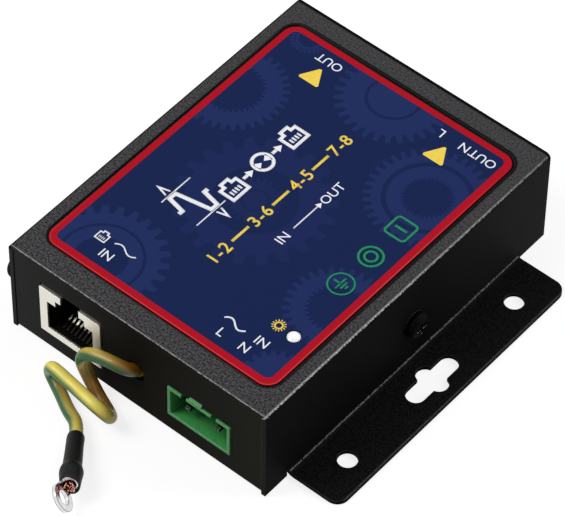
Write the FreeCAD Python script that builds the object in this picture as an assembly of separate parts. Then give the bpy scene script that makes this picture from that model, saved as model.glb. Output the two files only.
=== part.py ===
import FreeCAD, Part
import os
from math import cos, sin, tan, acos, sqrt, pi, radians

V = FreeCAD.Vector
os.makedirs("parts", exist_ok=True)

# Surge protector for one network line and its supply: a sheet metal box with a folded
# cover, a folded base tray, a circuit board and an earth wire that lies in front.
# X is the width, the input side faces -Y, Z is up, and z = 0 is the underside.

# housing, sheet metal
BODY_W = 66.0            # over the cover's side walls
BODY_L = 87.5            # length of the cover
BODY_H = 24.8
SHEET = 1.0              # cover and tray are the same stock
BEND_IN = 0.2            # inside radius of the housing's bends
PANEL_SET = 0.2          # front and rear panels lie this far inside the cover's edges
PANEL_TOP_GAP = 0.2
SIDE_GAP = 0.1           # between the tray and the cover's walls
EDGE_LIFT = 0.15         # the cover's cut edges end this far above the floor
RELIEF = 0.5             # width of the slits beside each bend

# mounting flange on the cover's right wall
FLANGE_W = 12.7
FLANGE_FRONT = 7.1       # from the cover's front end to the flange
FLANGE_REAR = 8.6        # from the flange to the cover's rear end
FLANGE_BEND_IN = 1.0
FLANGE_CORNER = 2.7
HOLE_R = 2.1
HOLE_END = 9.75          # hole, from the flange's end
HOLE_OUT = 6.7           # hole line, from the wall's outer face
KEY_SLOT_W = 4.2
KEY_SLOT_L = 14.5        # long slot, along the flange
KEY_CROSS_L = 7.5        # cross slot
KEY_CROSS_W = 4.2

# recessed label
LABEL_SIDE = 3.8         # from the housing's side to the label
LABEL_END = 5.65         # from the housing's end to the label
LABEL_R = 3.2
LABEL_T = 0.5
LABEL_GAP = 0.55
RECESS = 0.7            # depth of the pressed field
LED_SIDE = 9.0           # from the right side
LED_FRONT = 18.85        # from the front end
LED_R = 1.4
LED_DOME = 0.5
LED_FLANGE_R = 1.75
LED_FLANGE_T = 1.0
LED_BODY_H = 4.6         # from the rim to the foot of the dome
LED_PROUD = 0.15         # the dome's top above the label
LED_HOLE_GAP = 0.2
SPACER_R = 2.3
SPACER_BORE_R = 1.1      # the lamp's leads run down in it

# cover screws and what they go into
SCREW_R = 1.47
SCREW_HEAD_R = 2.8
SCREW_HEAD_H = 2.2
SCREW_LEN = 4.2
HEAD_RIM = 0.5          # straight rim, share of the head's height
HEAD_FLAT = 0.45         # flat middle, share of the head's radius
CROSS_ARM = 0.52         # recess: half span, width and depth, shares of the head
CROSS_W = 0.2
CROSS_D = 0.55
SCREW_HOLE_R = 1.65      # clearance hole
TAP_R = 1.52             # hole in the tab or standoff
SCREW_Z = 11.6           # the right one
CORNER_SCREW_Z = 14.4
SCREW_END = 3.35         # from the cover's end to the corner screws
MID_SCREW_Y = 1.0
TAB_W = 12.0             # tab on the right
TAB_OVER = 4.5           # the tab's top above its screw
CORNER_ROOT = 7.0        # tabs at the left corners: length of their bend,
CORNER_FROM = 4.0        # height from which they reach to the panel
TAB_GAP = 0.2            # from the corner tab to the panel

# circuit board
BOARD_T = 1.6
BOARD_GAP_X = 0.8        # from the board's edge to the upright tab
BOARD_GAP_Y = 0.5        # from the board's end to the panels
STACK_DROP = 0.6         # board and jack sit this far below the middle of their free height
STANDOFF_R = 2.7
SPIGOT_R = 2.0
SPIGOT_GAP = 0.05
SPIGOT_UP = 0.02         # the spigot ends this far above the floor
STANDOFF_IN_X = 2.6      # from the board's side
STANDOFF_IN_Y = 6.55     # from the board's end
BOARD_SCREW_HEAD_R = 2.2
BOARD_SCREW_HEAD_H = 1.5
BOARD_SCREW_LEN = 4.4

# modular jacks, input and output
JACK_CLEAR = 0.4         # from the board screws' heads
JACK_W = 15.9
JACK_H = 13.3
JACK_D = 18.0
JACK_SKIN = 0.4
JACK_PROUD = 0.35        # face, in front of the cover's end
JACK_FIT = 0.05
JACK_EDGE = 0.48         # rounding of the skin's long top edges
SPRING_FROM = 4.0        # side springs: from the face, length, height over the board
SPRING_L = 5.5
SPRING_Z = 4.0
SPRING_H = 4.0
SLIT = 0.4               # cut round a spring
PORT_W = 12.0
PORT_H = 8.0
PORT_Z = 1.75            # the port's floor above the board
PORT_D = 13.0
STEP1_W = 7.6
STEP1_H = 1.6
STEP2_W = 4.8
STEP_D = 9.75            # latch channel, from the insert's face
LATCH_D = 2.0            # how far back the open notch runs in the skin
CONTACTS = 8
CONTACT_PITCH = 1.02
CONTACT_T = 0.42
CONTACT_GROOVE = 0.1     # groove wider than the wire by this
CONTACT_FRONT = 1.6
CONTACT_LOW = 0.95
CONTACT_END = 1.6        # from the wire's end to the port's rear
GROOVE_UNDER = 0.05
GROOVE_END = 0.25
COMB_D = 2.6             # comb at the rear of the port
COMB_H = 1.2
CONTACT_REACH = 8.0      # free length of the slanting leg, seen from the side
CONTACT_RISE = 4.4
PANEL_FIT = 0.25         # gap round jack and header in the panel

# power headers, two poles
HEADER_CLEAR = 1.3       # from the board screws' heads
HEADER_W = 15.8
HEADER_H = 8.4
HEADER_D = 12.0
HEADER_WALL = 0.65
HEADER_PROUD = 0.1
HEADER_CAVITY = 8.6
POLE_PITCH = 7.62
PIN_T = 1.0
PIN_IN = 1.1             # tips lie this far behind the header's face
PIN_Z = 3.5
PIN_TAIL = 1.0           # below the board
PIN_FIT = 0.03
PIN_BACK = 0.3           # from the block's rear to the pin's leg
PIN_TIP = 0.3            # chamfer of the tips
PIN_TIP_L = 0.6
PIN_HOLE_R = 0.8
NOTCH_W = 1.4
NOTCH_D = 3.2
NUB_W = 3.1
NUB_H = 0.9
NUB_D = 1.2
NUB_X = -0.9

# parts on the board, in rows across it
TUBE_R = 2.75
TUBE_L = 6.0
TUBE_CAP = 1.1
TUBE_GAP = 1.8           # between the two of a row
BARREL_WAIST = 0.93      # ceramic between the caps, share of their radius
MOV_R = 6.0
MOV_T = 4.0
MOV_EDGE = 1.4
MOV_GAP = 2.4            # between the two of a row
MOV_LEG = 1.2            # body above the board
LEG_R = 0.4
LEG_SPREAD = 6.0
LEG_IN = 0.8             # the legs' run inside the body
ARRAY_W = 5.0
ARRAY_L = 4.0
ARRAY_H = 1.75
ARRAY_GAP = 2.8
ARRAY_DRAFT = 0.2
ARRAY_R = 0.1
CHOKE_W = 13.0
CHOKE_L = 11.0
CHOKE_H = 6.2
CHOKE_EDGE = 0.5
FUSE_R = 1.9
FUSE_L = 9.0
FUSE_CAP = 1.8
BIG_TUBE_R = 4.0
BIG_TUBE_L = 6.0
BIG_TUBE_CAP = 1.2

# earth wire
WIRE_R = 1.4
WIRE_HOLE_R = 2.4        # the wire passes it at a slant
WIRE_X = -0.38
WIRE_Z = 11.37
TAIL_RUN = 4.2           # slanting run behind the panel
TAIL_DROP = 3.4          # last run, straight down on the post
POST_BACK = 9.5          # from the panel's outer face
POST_R = 2.0
POST_H = 1.2
ROUTE = [                # corners of the wire's route after it leaves the panel
    (-0.56, -44.90, 12.80), (-2.57, -46.05, 13.81), (-5.34, -46.45, 13.76), (-8.07, -46.85, 13.33),
    (-9.99, -47.25, 12.45), (-10.96, -47.30, 10.58), (-11.49, -46.75, 7.74), (-10.02, -46.30, 3.63),
    (-6.59, -47.40, 1.66), (-2.67, -48.92, 1.62), (-0.51, -50.75, 3.32), (-1.00, -52.25, 6.18),
    (-4.07, -52.45, 7.25), (-9.95, -51.35, 6.59), (-13.22, -51.20, 7.26), (-15.76, -51.00, 7.31),
    (-17.62, -49.70, 3.15), (-14.91, -50.59, 1.60), (-12.45, -51.89, 1.60), (-8.90, -53.84, 1.60),
    (-5.51, -55.02, 1.62), (-4.31, -56.59, 1.95)]

# sleeve and ring terminal at the wire's end
SLEEVE_L = 14.8
SLEEVE_R1 = 1.7          # where it starts on the wire
SLEEVE_R2 = 1.93         # neck
SLEEVE_R3 = 2.4          # over the barrel
SLEEVE_R4 = 2.12         # mouth
NECK_TO = 8.6            # from the sleeve's start to the end of the neck
BULGE_FROM = 10.0
BULGE_TO = 11.8
BARREL_R = 1.75
BARREL_BORE_R = 1.3
BARREL_L = 4.0
BARREL_OUT = 0.4         # the barrel shows this much past the sleeve
RING_R = 3.0
RING_HOLE_R = 1.6
RING_T = 0.8
TONGUE_W = 2.8
TONGUE_GAP = 0.06        # from the sleeve's end to the tongue
RING_OFF = 2.95          # ring centre, from the barrel's end
RING_TURN = 70.0         # the flat's turn about the wire's axis, from upright
STRAND_R = 0.34
STRAND_RING = 0.8        # the outer six lie on this radius
STRAND_SHORT = 0.3       # the shortest ends this far inside the barrel's mouth
STRAND_STEP = 0.12

# values that follow
HALF_W = BODY_W / 2
HALF_L = BODY_L / 2
TRAY_HALF = HALF_W - SHEET - SIDE_GAP
PANEL_Y = HALF_L - PANEL_SET                 # outer face of a panel
PANEL_TOP = BODY_H - SHEET - PANEL_TOP_GAP
FLANGE_Y0 = -HALF_L + FLANGE_FRONT
FLANGE_Y1 = HALF_L - FLANGE_REAR
FLANGE_MID = (FLANGE_Y0 + FLANGE_Y1) / 2
HOLE_X = HALF_W + HOLE_OUT
LABEL_W = BODY_W - 2 * LABEL_SIDE
LABEL_L = BODY_L - 2 * LABEL_END
FIELD_Z = BODY_H - RECESS
LABEL_TOP = FIELD_Z + LABEL_T
LED_X = HALF_W - LED_SIDE
LED_Y = -HALF_L + LED_FRONT
STANDOFF_H = (FIELD_Z - 2 * SHEET - BOARD_T - JACK_H) / 2 - STACK_DROP
BOARD_Z = SHEET + STANDOFF_H
BOARD_TOP = BOARD_Z + BOARD_T
BOARD_HALF_W = TRAY_HALF - SHEET - BOARD_GAP_X
BOARD_HALF_L = PANEL_Y - SHEET - BOARD_GAP_Y
STANDOFF_X = BOARD_HALF_W - STANDOFF_IN_X
STANDOFF_Y = BOARD_HALF_L - STANDOFF_IN_Y
HEADS_X = STANDOFF_X - BOARD_SCREW_HEAD_R    # inner side of the board screws' heads
JACK_X = -(HEADS_X - JACK_CLEAR - JACK_W / 2)
HEADER_X = HEADS_X - HEADER_CLEAR - HEADER_W / 2
PORT_TOP = PORT_Z + PORT_H
CONTACT_BACK = JACK_SKIN + PORT_D - CONTACT_END
PIN_LEG_Y = HEADER_D + PIN_BACK + PIN_T / 2  # middle of a pin's leg behind the header's face
POST_X = (JACK_X + JACK_W / 2 + HEADER_X - HEADER_W / 2) / 2


def box(x0, x1, y0, y1, z0, z1):
    return Part.makeBox(x1 - x0, y1 - y0, z1 - z0, V(x0, y0, z0))


def cyl(r, h, at, along):
    return Part.makeCylinder(r, h, V(*at), V(*along))


def outline(points, place):
    """Closed wire through (u, v) corners; a third value rounds that corner."""
    n = len(points)
    cuts = []
    for i, p in enumerate(points):
        r = p[2] if len(p) > 2 else 0.0
        here = V(p[0], p[1], 0)
        if r <= 0:
            cuts.append((here, None, here))
            continue
        a = V(points[i - 1][0], points[i - 1][1], 0) - here
        b = V(points[(i + 1) % n][0], points[(i + 1) % n][1], 0) - here
        a.normalize()
        b.normalize()
        half = acos(max(-1.0, min(1.0, a.dot(b)))) / 2
        back = r / tan(half)
        mid = a + b
        mid.normalize()
        top = here + mid * (r / sin(half) - r)
        cuts.append((here + a * back, top, here + b * back))
    edges = []
    for i, (start, top, end) in enumerate(cuts):
        if top is not None:
            edges.append(Part.Arc(place(start), place(top), place(end)).toShape())
        nxt = cuts[(i + 1) % n][0]
        if (nxt - end).Length > 1e-6:
            edges.append(Part.LineSegment(place(end), place(nxt)).toShape())
    return Part.Wire(edges)


def prism_x(points, x0, x1):
    """Corners are (y, z)."""
    return Part.Face(outline(points, lambda p: V(x0, p.x, p.y))).extrude(V(x1 - x0, 0, 0))


def prism_y(points, y0, y1):
    """Corners are (x, z)."""
    return Part.Face(outline(points, lambda p: V(p.x, y0, p.y))).extrude(V(0, y1 - y0, 0))


def prism_z(points, z0, z1):
    """Corners are (x, y)."""
    return Part.Face(outline(points, lambda p: V(p.x, p.y, z0))).extrude(V(0, 0, z1 - z0))


def plate(w, l, r, z0, z1):
    return prism_z([(-w / 2, -l / 2, r), (w / 2, -l / 2, r), (w / 2, l / 2, r), (-w / 2, l / 2, r)], z0, z1)


def slot(cx, cy, length, width, along_y, z0, z1):
    """Round-ended slot."""
    h = length / 2 - width / 2
    if along_y:
        solid = box(cx - width / 2, cx + width / 2, cy - h, cy + h, z0, z1)
        ends = [(cx, cy - h), (cx, cy + h)]
    else:
        solid = box(cx - h, cx + h, cy - width / 2, cy + width / 2, z0, z1)
        ends = [(cx - h, cy), (cx + h, cy)]
    for x, y in ends:
        solid = solid.fuse(cyl(width / 2, z1 - z0, (x, y, z0), (0, 0, 1)))
    return solid


def screw_places():
    """Centre of each cover screw on its wall, and the way its head points."""
    y = HALF_L - SCREW_END
    return [((-HALF_W, -y, CORNER_SCREW_Z), -1), ((-HALF_W, y, CORNER_SCREW_Z), -1),
            ((HALF_W, MID_SCREW_Y, SCREW_Z), 1)]


def standoff_places():
    return [(sx * STANDOFF_X, sy * STANDOFF_Y) for sx in (-1, 1) for sy in (-1, 1)]


def front_and_rear(solid, x, proud):
    """The same piece at the input end and, turned round, at the output end."""
    front = solid.copy()
    front.translate(V(x, -HALF_L - proud, BOARD_TOP))
    rear = solid.copy()
    rear.rotate(V(0, 0, 0), V(0, 0, 1), 180)
    rear.translate(V(x, HALF_L + proud, BOARD_TOP))
    return front, rear


def top_cover():
    t, ro = SHEET, BEND_IN + SHEET
    w, h = HALF_W, BODY_H
    cover = prism_y([(-w, EDGE_LIFT), (-w, h, ro), (w, h, ro), (w, EDGE_LIFT), (w - t, EDGE_LIFT),
                     (w - t, h - t, BEND_IN), (-w + t, h - t, BEND_IN), (-w + t, EDGE_LIFT)],
                    -HALF_L, HALF_L)
    # the pressed field keeps the sheet's thickness
    field_w, field_l = LABEL_W + 2 * LABEL_GAP, LABEL_L + 2 * LABEL_GAP
    cover = cover.fuse(plate(field_w + t, field_l + t, LABEL_R + t, h - t - RECESS, h - t))
    cover = cover.cut(plate(field_w, field_l, LABEL_R + LABEL_GAP, h - RECESS, h + 1))
    # flange: the wall turns outward at the floor, with a slit at each end of the bend
    bend_top = t + FLANGE_BEND_IN
    y0, y1 = FLANGE_Y0, FLANGE_Y1
    cover = cover.cut(box(w - t - 1, w + 1, y0 - RELIEF, y1 + RELIEF, -1, bend_top))
    section = [(w - t, bend_top), (w, bend_top), (w, t, FLANGE_BEND_IN), (w + FLANGE_W, t),
               (w + FLANGE_W, 0), (w - t, 0, bend_top)]
    flange = prism_y(section, y0, y1)
    x1 = w + FLANGE_W
    flange = flange.common(prism_z([(w - t - 1, y0), (x1, y0, FLANGE_CORNER), (x1, y1, FLANGE_CORNER),
                                    (w - t - 1, y1)], -1, bend_top + 1))
    for y in (y0 + HOLE_END, y1 - HOLE_END):
        flange = flange.cut(cyl(HOLE_R, t + 2, (HOLE_X, y, -1), (0, 0, 1)))
    flange = flange.cut(slot(HOLE_X, FLANGE_MID, KEY_SLOT_L, KEY_SLOT_W, True, -1, t + 1))
    flange = flange.cut(slot(HOLE_X, FLANGE_MID, KEY_CROSS_L, KEY_CROSS_W, False, -1, t + 1))
    cover = cover.fuse(flange)
    for at, way in screw_places():
        cover = cover.cut(cyl(SCREW_HOLE_R, t + 2, (at[0] + way, at[1], at[2]), (-way, 0, 0)))
    cover = cover.cut(cyl(LED_R + LED_HOLE_GAP, h, (LED_X, LED_Y, h / 2), (0, 0, 1)))
    return cover.removeSplitter()


def panel_openings():
    """Holes in the panels: jack and header at both ends, the wire's hole at the input end."""
    g = PANEL_FIT
    cuts = []
    for s in (-1, 1):
        y0, y1 = sorted((s * (PANEL_Y - SHEET - 1), s * (PANEL_Y + 1)))
        cuts.append(box(JACK_X - JACK_W / 2 - g, JACK_X + JACK_W / 2 + g, y0, y1,
                        BOARD_TOP - g, BOARD_TOP + JACK_H + g))
        cuts.append(box(HEADER_X - HEADER_W / 2 - g, HEADER_X + HEADER_W / 2 + g, y0, y1,
                        BOARD_TOP - g, BOARD_TOP + HEADER_H + g))
        nub = HEADER_X - s * NUB_X
        cuts.append(box(nub - NUB_W / 2 - g, nub + NUB_W / 2 + g, y0, y1,
                        BOARD_TOP, BOARD_TOP + HEADER_H + NUB_H + g))
    cuts.append(cyl(WIRE_HOLE_R, SHEET + 2, (WIRE_X, -PANEL_Y - 1, WIRE_Z), (0, 1, 0)))
    return cuts


def base_tray():
    t, ri, ro = SHEET, BEND_IN, BEND_IN + SHEET
    w, l = TRAY_HALF, PANEL_Y
    tray = prism_x([(-l, PANEL_TOP), (-l, 0, ro), (l, 0, ro), (l, PANEL_TOP), (l - t, PANEL_TOP),
                    (l - t, t, ri), (-l + t, t, ri), (-l + t, PANEL_TOP)], -w, w)
    # upright tabs take the cover screws: one in the middle of the right edge, and one at each left
    # corner, whose upper part reaches beside the panel
    half, beside = TAB_W / 2, l - t - TAB_GAP
    root, reach = l - ro - RELIEF, l - ro - RELIEF - CORNER_ROOT
    for side, ya, yb, end, high in ((1, MID_SCREW_Y - half, MID_SCREW_Y + half, None, SCREW_Z),
                                    (-1, -root, -reach, -beside, CORNER_SCREW_Z),
                                    (-1, reach, root, beside, CORNER_SCREW_Z)):
        top = high + TAB_OVER
        edge = sorted((side * (w - ro), side * (w + 1)))
        tray = tray.cut(box(*edge, ya - RELIEF, yb + RELIEF, -1, t + ri))
        tab = [(side * (w - 2 * ro), 0), (side * w, 0, ro), (side * w, top), (side * (w - t), top),
               (side * (w - t), t, ri), (side * (w - 2 * ro), t)]
        tray = tray.fuse(prism_y(tab, ya, yb))
        if end:
            face = sorted((side * (w - t), side * w))
            tray = tray.fuse(box(*face, *sorted((end, ya)), CORNER_FROM, top))
    for at, way in screw_places():
        tray = tray.cut(cyl(TAP_R, 6, (at[0] + way, at[1], at[2]), (-way, 0, 0)))
    for x, y in standoff_places():
        tray = tray.cut(cyl(SPIGOT_R + SPIGOT_GAP, t + 2, (x, y, -1), (0, 0, 1)))
    for cut in panel_openings():
        tray = tray.cut(cut)
    return tray.removeSplitter()


def face_label():
    label = plate(LABEL_W, LABEL_L, LABEL_R, FIELD_Z, LABEL_TOP)
    return label.cut(cyl(LED_R + LED_HOLE_GAP, 4, (LED_X, LED_Y, BODY_H - 2), (0, 0, 1)))


def pan_screw(head_r, head_h, shank_r, length):
    """Pan head screw: the head's seat is z = 0, the shank points down."""
    rim, flat = head_h * HEAD_RIM, head_r * HEAD_FLAT
    profile = Part.Wire([
        Part.LineSegment(V(0, 0, -length), V(shank_r, 0, -length)).toShape(),
        Part.LineSegment(V(shank_r, 0, -length), V(shank_r, 0, 0)).toShape(),
        Part.LineSegment(V(shank_r, 0, 0), V(head_r, 0, 0)).toShape(),
        Part.LineSegment(V(head_r, 0, 0), V(head_r, 0, rim)).toShape(),
        Part.Arc(V(head_r, 0, rim), V((head_r * 2 + flat) / 3, 0, (rim + head_h * 3) / 4),
                 V(flat, 0, head_h)).toShape(),
        Part.LineSegment(V(flat, 0, head_h), V(0, 0, head_h)).toShape(),
        Part.LineSegment(V(0, 0, head_h), V(0, 0, -length)).toShape()])
    body = Part.Face(profile).revolve(V(0, 0, 0), V(0, 0, 1), 360)
    arm, wide, deep = head_r * CROSS_ARM, head_r * CROSS_W, head_h * CROSS_D
    for a, b in ((arm, wide / 2), (wide / 2, arm)):
        body = body.cut(box(-a, a, -b, b, head_h - deep, head_h + 1))
    return body


def cover_screws():
    solids = []
    for at, way in screw_places():
        s = pan_screw(SCREW_HEAD_R, SCREW_HEAD_H, SCREW_R, SCREW_LEN)
        s.rotate(V(0, 0, 0), V(0, 1, 0), way * 90)
        s.translate(V(*at))
        solids.append(s)
    return Part.makeCompound(solids)


def circuit_board():
    board = box(-BOARD_HALF_W, BOARD_HALF_W, -BOARD_HALF_L, BOARD_HALF_L, BOARD_Z, BOARD_TOP)
    for x, y in standoff_places():
        board = board.cut(cyl(SCREW_HOLE_R, BOARD_T + 2, (x, y, BOARD_Z - 1), (0, 0, 1)))
    for s in (-1, 1):
        for p in (-1, 1):
            at = (HEADER_X + p * POLE_PITCH / 2, s * (HALF_L + HEADER_PROUD - PIN_LEG_Y), BOARD_Z - 1)
            board = board.cut(cyl(PIN_HOLE_R, BOARD_T + 2, at, (0, 0, 1)))
    return board


def board_standoffs():
    solids = []
    for x, y in standoff_places():
        post = cyl(STANDOFF_R, STANDOFF_H, (x, y, SHEET), (0, 0, 1))
        post = post.fuse(cyl(SPIGOT_R, SHEET, (x, y, SPIGOT_UP), (0, 0, 1)))
        post = post.cut(cyl(TAP_R, STANDOFF_H + SHEET + 2, (x, y, -1), (0, 0, 1)))
        solids.append(post.removeSplitter())
    return Part.makeCompound(solids)


def board_screws():
    solids = []
    for x, y in standoff_places():
        s = pan_screw(BOARD_SCREW_HEAD_R, BOARD_SCREW_HEAD_H, SCREW_R, BOARD_SCREW_LEN)
        s.translate(V(x, y, BOARD_TOP))
        solids.append(s)
    return Part.makeCompound(solids)


def jack_shield():
    """Folded metal skin; the face is y = 0 and z = 0 is the board."""
    w, h, d, t = JACK_W / 2, JACK_H, JACK_D, JACK_SKIN
    skin = box(-w, w, 0, d, 0, h)
    skin = skin.makeFillet(JACK_EDGE, [e for e in skin.Edges
                                       if abs(e.Length - d) < 1e-6 and e.BoundBox.ZMin > h - 1e-3])
    skin = skin.cut(box(-w + t, w - t, t, d - t, -1, h - t))
    skin = skin.cut(box(-PORT_W / 2, PORT_W / 2, -1, t + 1, PORT_Z, PORT_TOP))
    skin = skin.cut(box(-STEP1_W / 2, STEP1_W / 2, -1, t + 1, PORT_Z, PORT_TOP + STEP1_H))
    skin = skin.cut(box(-STEP2_W / 2, STEP2_W / 2, -1, LATCH_D, PORT_Z, h + 1))
    # each side has a spring tongue, cut free on three sides
    y0, y1 = SPRING_FROM, SPRING_FROM + SPRING_L
    z0, z1 = SPRING_Z, SPRING_Z + SPRING_H
    for z in (z0, z1 - SLIT):
        skin = skin.cut(box(-w - 1, w + 1, y0, y1, z, z + SLIT))
    return skin.cut(box(-w - 1, w + 1, y1 - SLIT, y1, z0, z1)).removeSplitter()


def groove_cuts(y0, y1, top):
    """One slot for each contact."""
    half = (CONTACT_T + CONTACT_GROOVE) / 2
    return [box(x - half, x + half, y0, y1, CONTACT_LOW - GROOVE_UNDER, top) for x in contact_places()]


def jack_insert():
    """Moulded insert with the port, the latch channel and the contact grooves."""
    t, g = JACK_SKIN, JACK_FIT
    w = JACK_W / 2 - t - g
    back = t + PORT_D
    body = box(-w, w, t, JACK_D - t - g, 0, JACK_H - t - g)
    body = body.cut(box(-PORT_W / 2 + g, PORT_W / 2 - g, 0, back, PORT_Z, PORT_TOP - g))
    body = body.cut(box(-STEP1_W / 2 + g, STEP1_W / 2 - g, 0, t + STEP_D, PORT_Z, PORT_TOP + STEP1_H - g))
    body = body.cut(box(-STEP2_W / 2 + g, STEP2_W / 2 - g, 0, LATCH_D, PORT_TOP, JACK_H + 1))
    for cut in groove_cuts(CONTACT_FRONT - GROOVE_END, CONTACT_BACK + GROOVE_END, PORT_Z + 1):
        body = body.cut(cut)
    # comb that keeps the contacts apart at the back of the port
    comb = box(-PORT_W / 2, PORT_W / 2, back - COMB_D, back, PORT_Z, PORT_Z + COMB_H)
    for cut in groove_cuts(back - COMB_D - 1, back + 1, PORT_Z + COMB_H + 1):
        comb = comb.cut(cut)
    return body.fuse(comb).removeSplitter()


def contact_places():
    return [(i - (CONTACTS - 1) / 2) * CONTACT_PITCH for i in range(CONTACTS)]


def jack_contacts():
    """Spring wires: in along the floor, round at the mouth and slanting back up."""
    f, z, c = CONTACT_FRONT, CONTACT_LOW, CONTACT_T
    tip_y, tip_z = f + CONTACT_REACH, z + c + CONTACT_RISE
    run, rise = tip_y - f, tip_z - (z + c * 1.9)
    n = sqrt(run * run + rise * rise)
    dy, dz = rise / n * c, -run / n * c
    side = [(CONTACT_BACK, z), (f, z, c * 0.7), (f, z + c * 1.9, c * 0.9), (tip_y, tip_z),
            (tip_y + dy, tip_z + dz), (f + c * 1.9, z + c * 1.9 + (c * 1.9 - dy) * rise / run + dz, 0.05),
            (f + c * 1.75, z + c, 0.05), (CONTACT_BACK, z + c)]
    return Part.makeCompound([prism_x(side, x - c / 2, x + c / 2) for x in contact_places()])


def header_body():
    """Two-pole power header: a shrouded block, open at y = 0."""
    w, h, wall = HEADER_W / 2, HEADER_H, HEADER_WALL
    body = box(-w, w, 0, HEADER_D, 0, h)
    body = body.cut(box(-w + wall, w - wall, -1, HEADER_CAVITY, wall, h - wall))
    for p in (-1, 1):
        x = p * POLE_PITCH / 2
        body = body.cut(box(x - NOTCH_W / 2, x + NOTCH_W / 2, -1, NOTCH_D, h - wall - 1, h + 1))
        q = PIN_T / 2 + PIN_FIT
        body = body.cut(box(x - q, x + q, HEADER_CAVITY - 1, HEADER_D + 1, PIN_Z - q, PIN_Z + q))
    # ramp that the plug's latch rides over
    ramp = prism_x([(0, h - wall), (0, h + NUB_H / 2), (NUB_D / 2, h + NUB_H), (NUB_D, h + NUB_H),
                    (NUB_D, h - wall)], NUB_X - NUB_W / 2, NUB_X + NUB_W / 2)
    return body.fuse(ramp).removeSplitter()


def header_pins():
    """Square pins, bent down behind the block and through the board."""
    q, c = PIN_T / 2, PIN_TIP
    y0, y1 = PIN_IN, PIN_LEG_Y + q
    tip = y0 + PIN_TIP_L
    low = -(BOARD_T + PIN_TAIL)
    side = [(y0, PIN_Z - q + c), (y0, PIN_Z + q - c), (tip, PIN_Z + q), (y1, PIN_Z + q, PIN_T + c),
            (y1, low), (y1 - PIN_T, low), (y1 - PIN_T, PIN_Z - q, c), (tip, PIN_Z - q)]
    return Part.makeCompound([prism_x(side, p * POLE_PITCH / 2 - q, p * POLE_PITCH / 2 + q) for p in (-1, 1)])


def status_led():
    """Clear lens, a rim at its foot and a low dome that shows in the label."""
    dome = LED_DOME
    shoulder = LABEL_TOP + LED_PROUD - dome
    rim = shoulder - LED_BODY_H
    ball = (LED_R ** 2 + dome ** 2) / (2 * dome)
    lens = cyl(LED_R, LED_BODY_H + dome + 1, (LED_X, LED_Y, rim), (0, 0, 1))
    lens = lens.common(Part.makeSphere(ball, V(LED_X, LED_Y, shoulder + dome - ball)))
    return lens.fuse(cyl(LED_FLANGE_R, LED_FLANGE_T, (LED_X, LED_Y, rim), (0, 0, 1))).removeSplitter(), rim


def led_spacer(rim):
    tube = cyl(SPACER_R, rim - BOARD_TOP, (LED_X, LED_Y, BOARD_TOP), (0, 0, 1))
    return tube.cut(cyl(SPACER_BORE_R, rim, (LED_X, LED_Y, BOARD_TOP - 1), (0, 0, 1)))


def rows(depths, y0, y1):
    """Middle of each row, with the same gap between all of them and at both ends."""
    gap = (y1 - y0 - sum(depths)) / (len(depths) + 1)
    middles = []
    for depth in depths:
        middles.append(y0 + gap + depth / 2)
        y0 += gap + depth
    return middles


def two_terminal(r, length, at, cap):
    """Ceramic barrel lying along X with a metal cap on each end."""
    x, y = at
    z = BOARD_TOP + r
    body = cyl(r * BARREL_WAIST, length, (x - length / 2, y, z), (1, 0, 0))
    for x0 in (x - length / 2, x + length / 2 - cap):
        body = body.fuse(cyl(r, cap, (x0, y, z), (1, 0, 0)))
    return body.removeSplitter()


def clamp_array(x, y):
    """Small moulded package with drafted ends."""
    low, high = BOARD_TOP, BOARD_TOP + ARRAY_H
    a, b = ARRAY_L / 2, ARRAY_L / 2 - ARRAY_DRAFT
    return prism_x([(y - a, low), (y + a, low), (y + b, high, ARRAY_R), (y - b, high, ARRAY_R)],
                   x - ARRAY_W / 2, x + ARRAY_W / 2)


def disc_varistor(x, y):
    """Coated disc that stands across the board on two legs."""
    disc = cyl(MOV_R, MOV_T, (x, y - MOV_T / 2, BOARD_TOP + MOV_LEG + MOV_R), (0, 1, 0))
    disc = disc.makeFillet(MOV_EDGE, [e for e in disc.Edges if e.Closed])
    half = LEG_SPREAD / 2
    foot = MOV_R - sqrt(MOV_R ** 2 - half ** 2)      # the disc's edge over a leg
    for leg in (x - half, x + half):
        disc = disc.fuse(cyl(LEG_R, MOV_LEG + foot + LEG_IN, (leg, y, BOARD_TOP), (0, 0, 1)))
    return disc


def line_parts():
    """Between the two jacks: tubes, arrays and the choke."""
    end = HALF_L + JACK_PROUD - JACK_D
    ys = rows([2 * TUBE_R, 2 * TUBE_R, ARRAY_L, ARRAY_L, CHOKE_L], -end, end)
    dx = (TUBE_L + TUBE_GAP) / 2
    tubes = [two_terminal(TUBE_R, TUBE_L, (x, y), TUBE_CAP) for y in ys[:2] for x in (JACK_X - dx, JACK_X + dx)]
    dx = (ARRAY_W + ARRAY_GAP) / 2
    arrays = [clamp_array(x, y) for y in ys[2:4] for x in (JACK_X - dx, JACK_X + dx)]
    y, top = ys[4], BOARD_TOP + CHOKE_H
    choke = box(JACK_X - CHOKE_W / 2, JACK_X + CHOKE_W / 2, y - CHOKE_L / 2, y + CHOKE_L / 2, BOARD_TOP, top)
    choke = choke.makeChamfer(CHOKE_EDGE, [e for e in choke.Edges if e.BoundBox.ZMin > top - 1e-3])
    return Part.makeCompound(tubes), Part.makeCompound(arrays), choke


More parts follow.
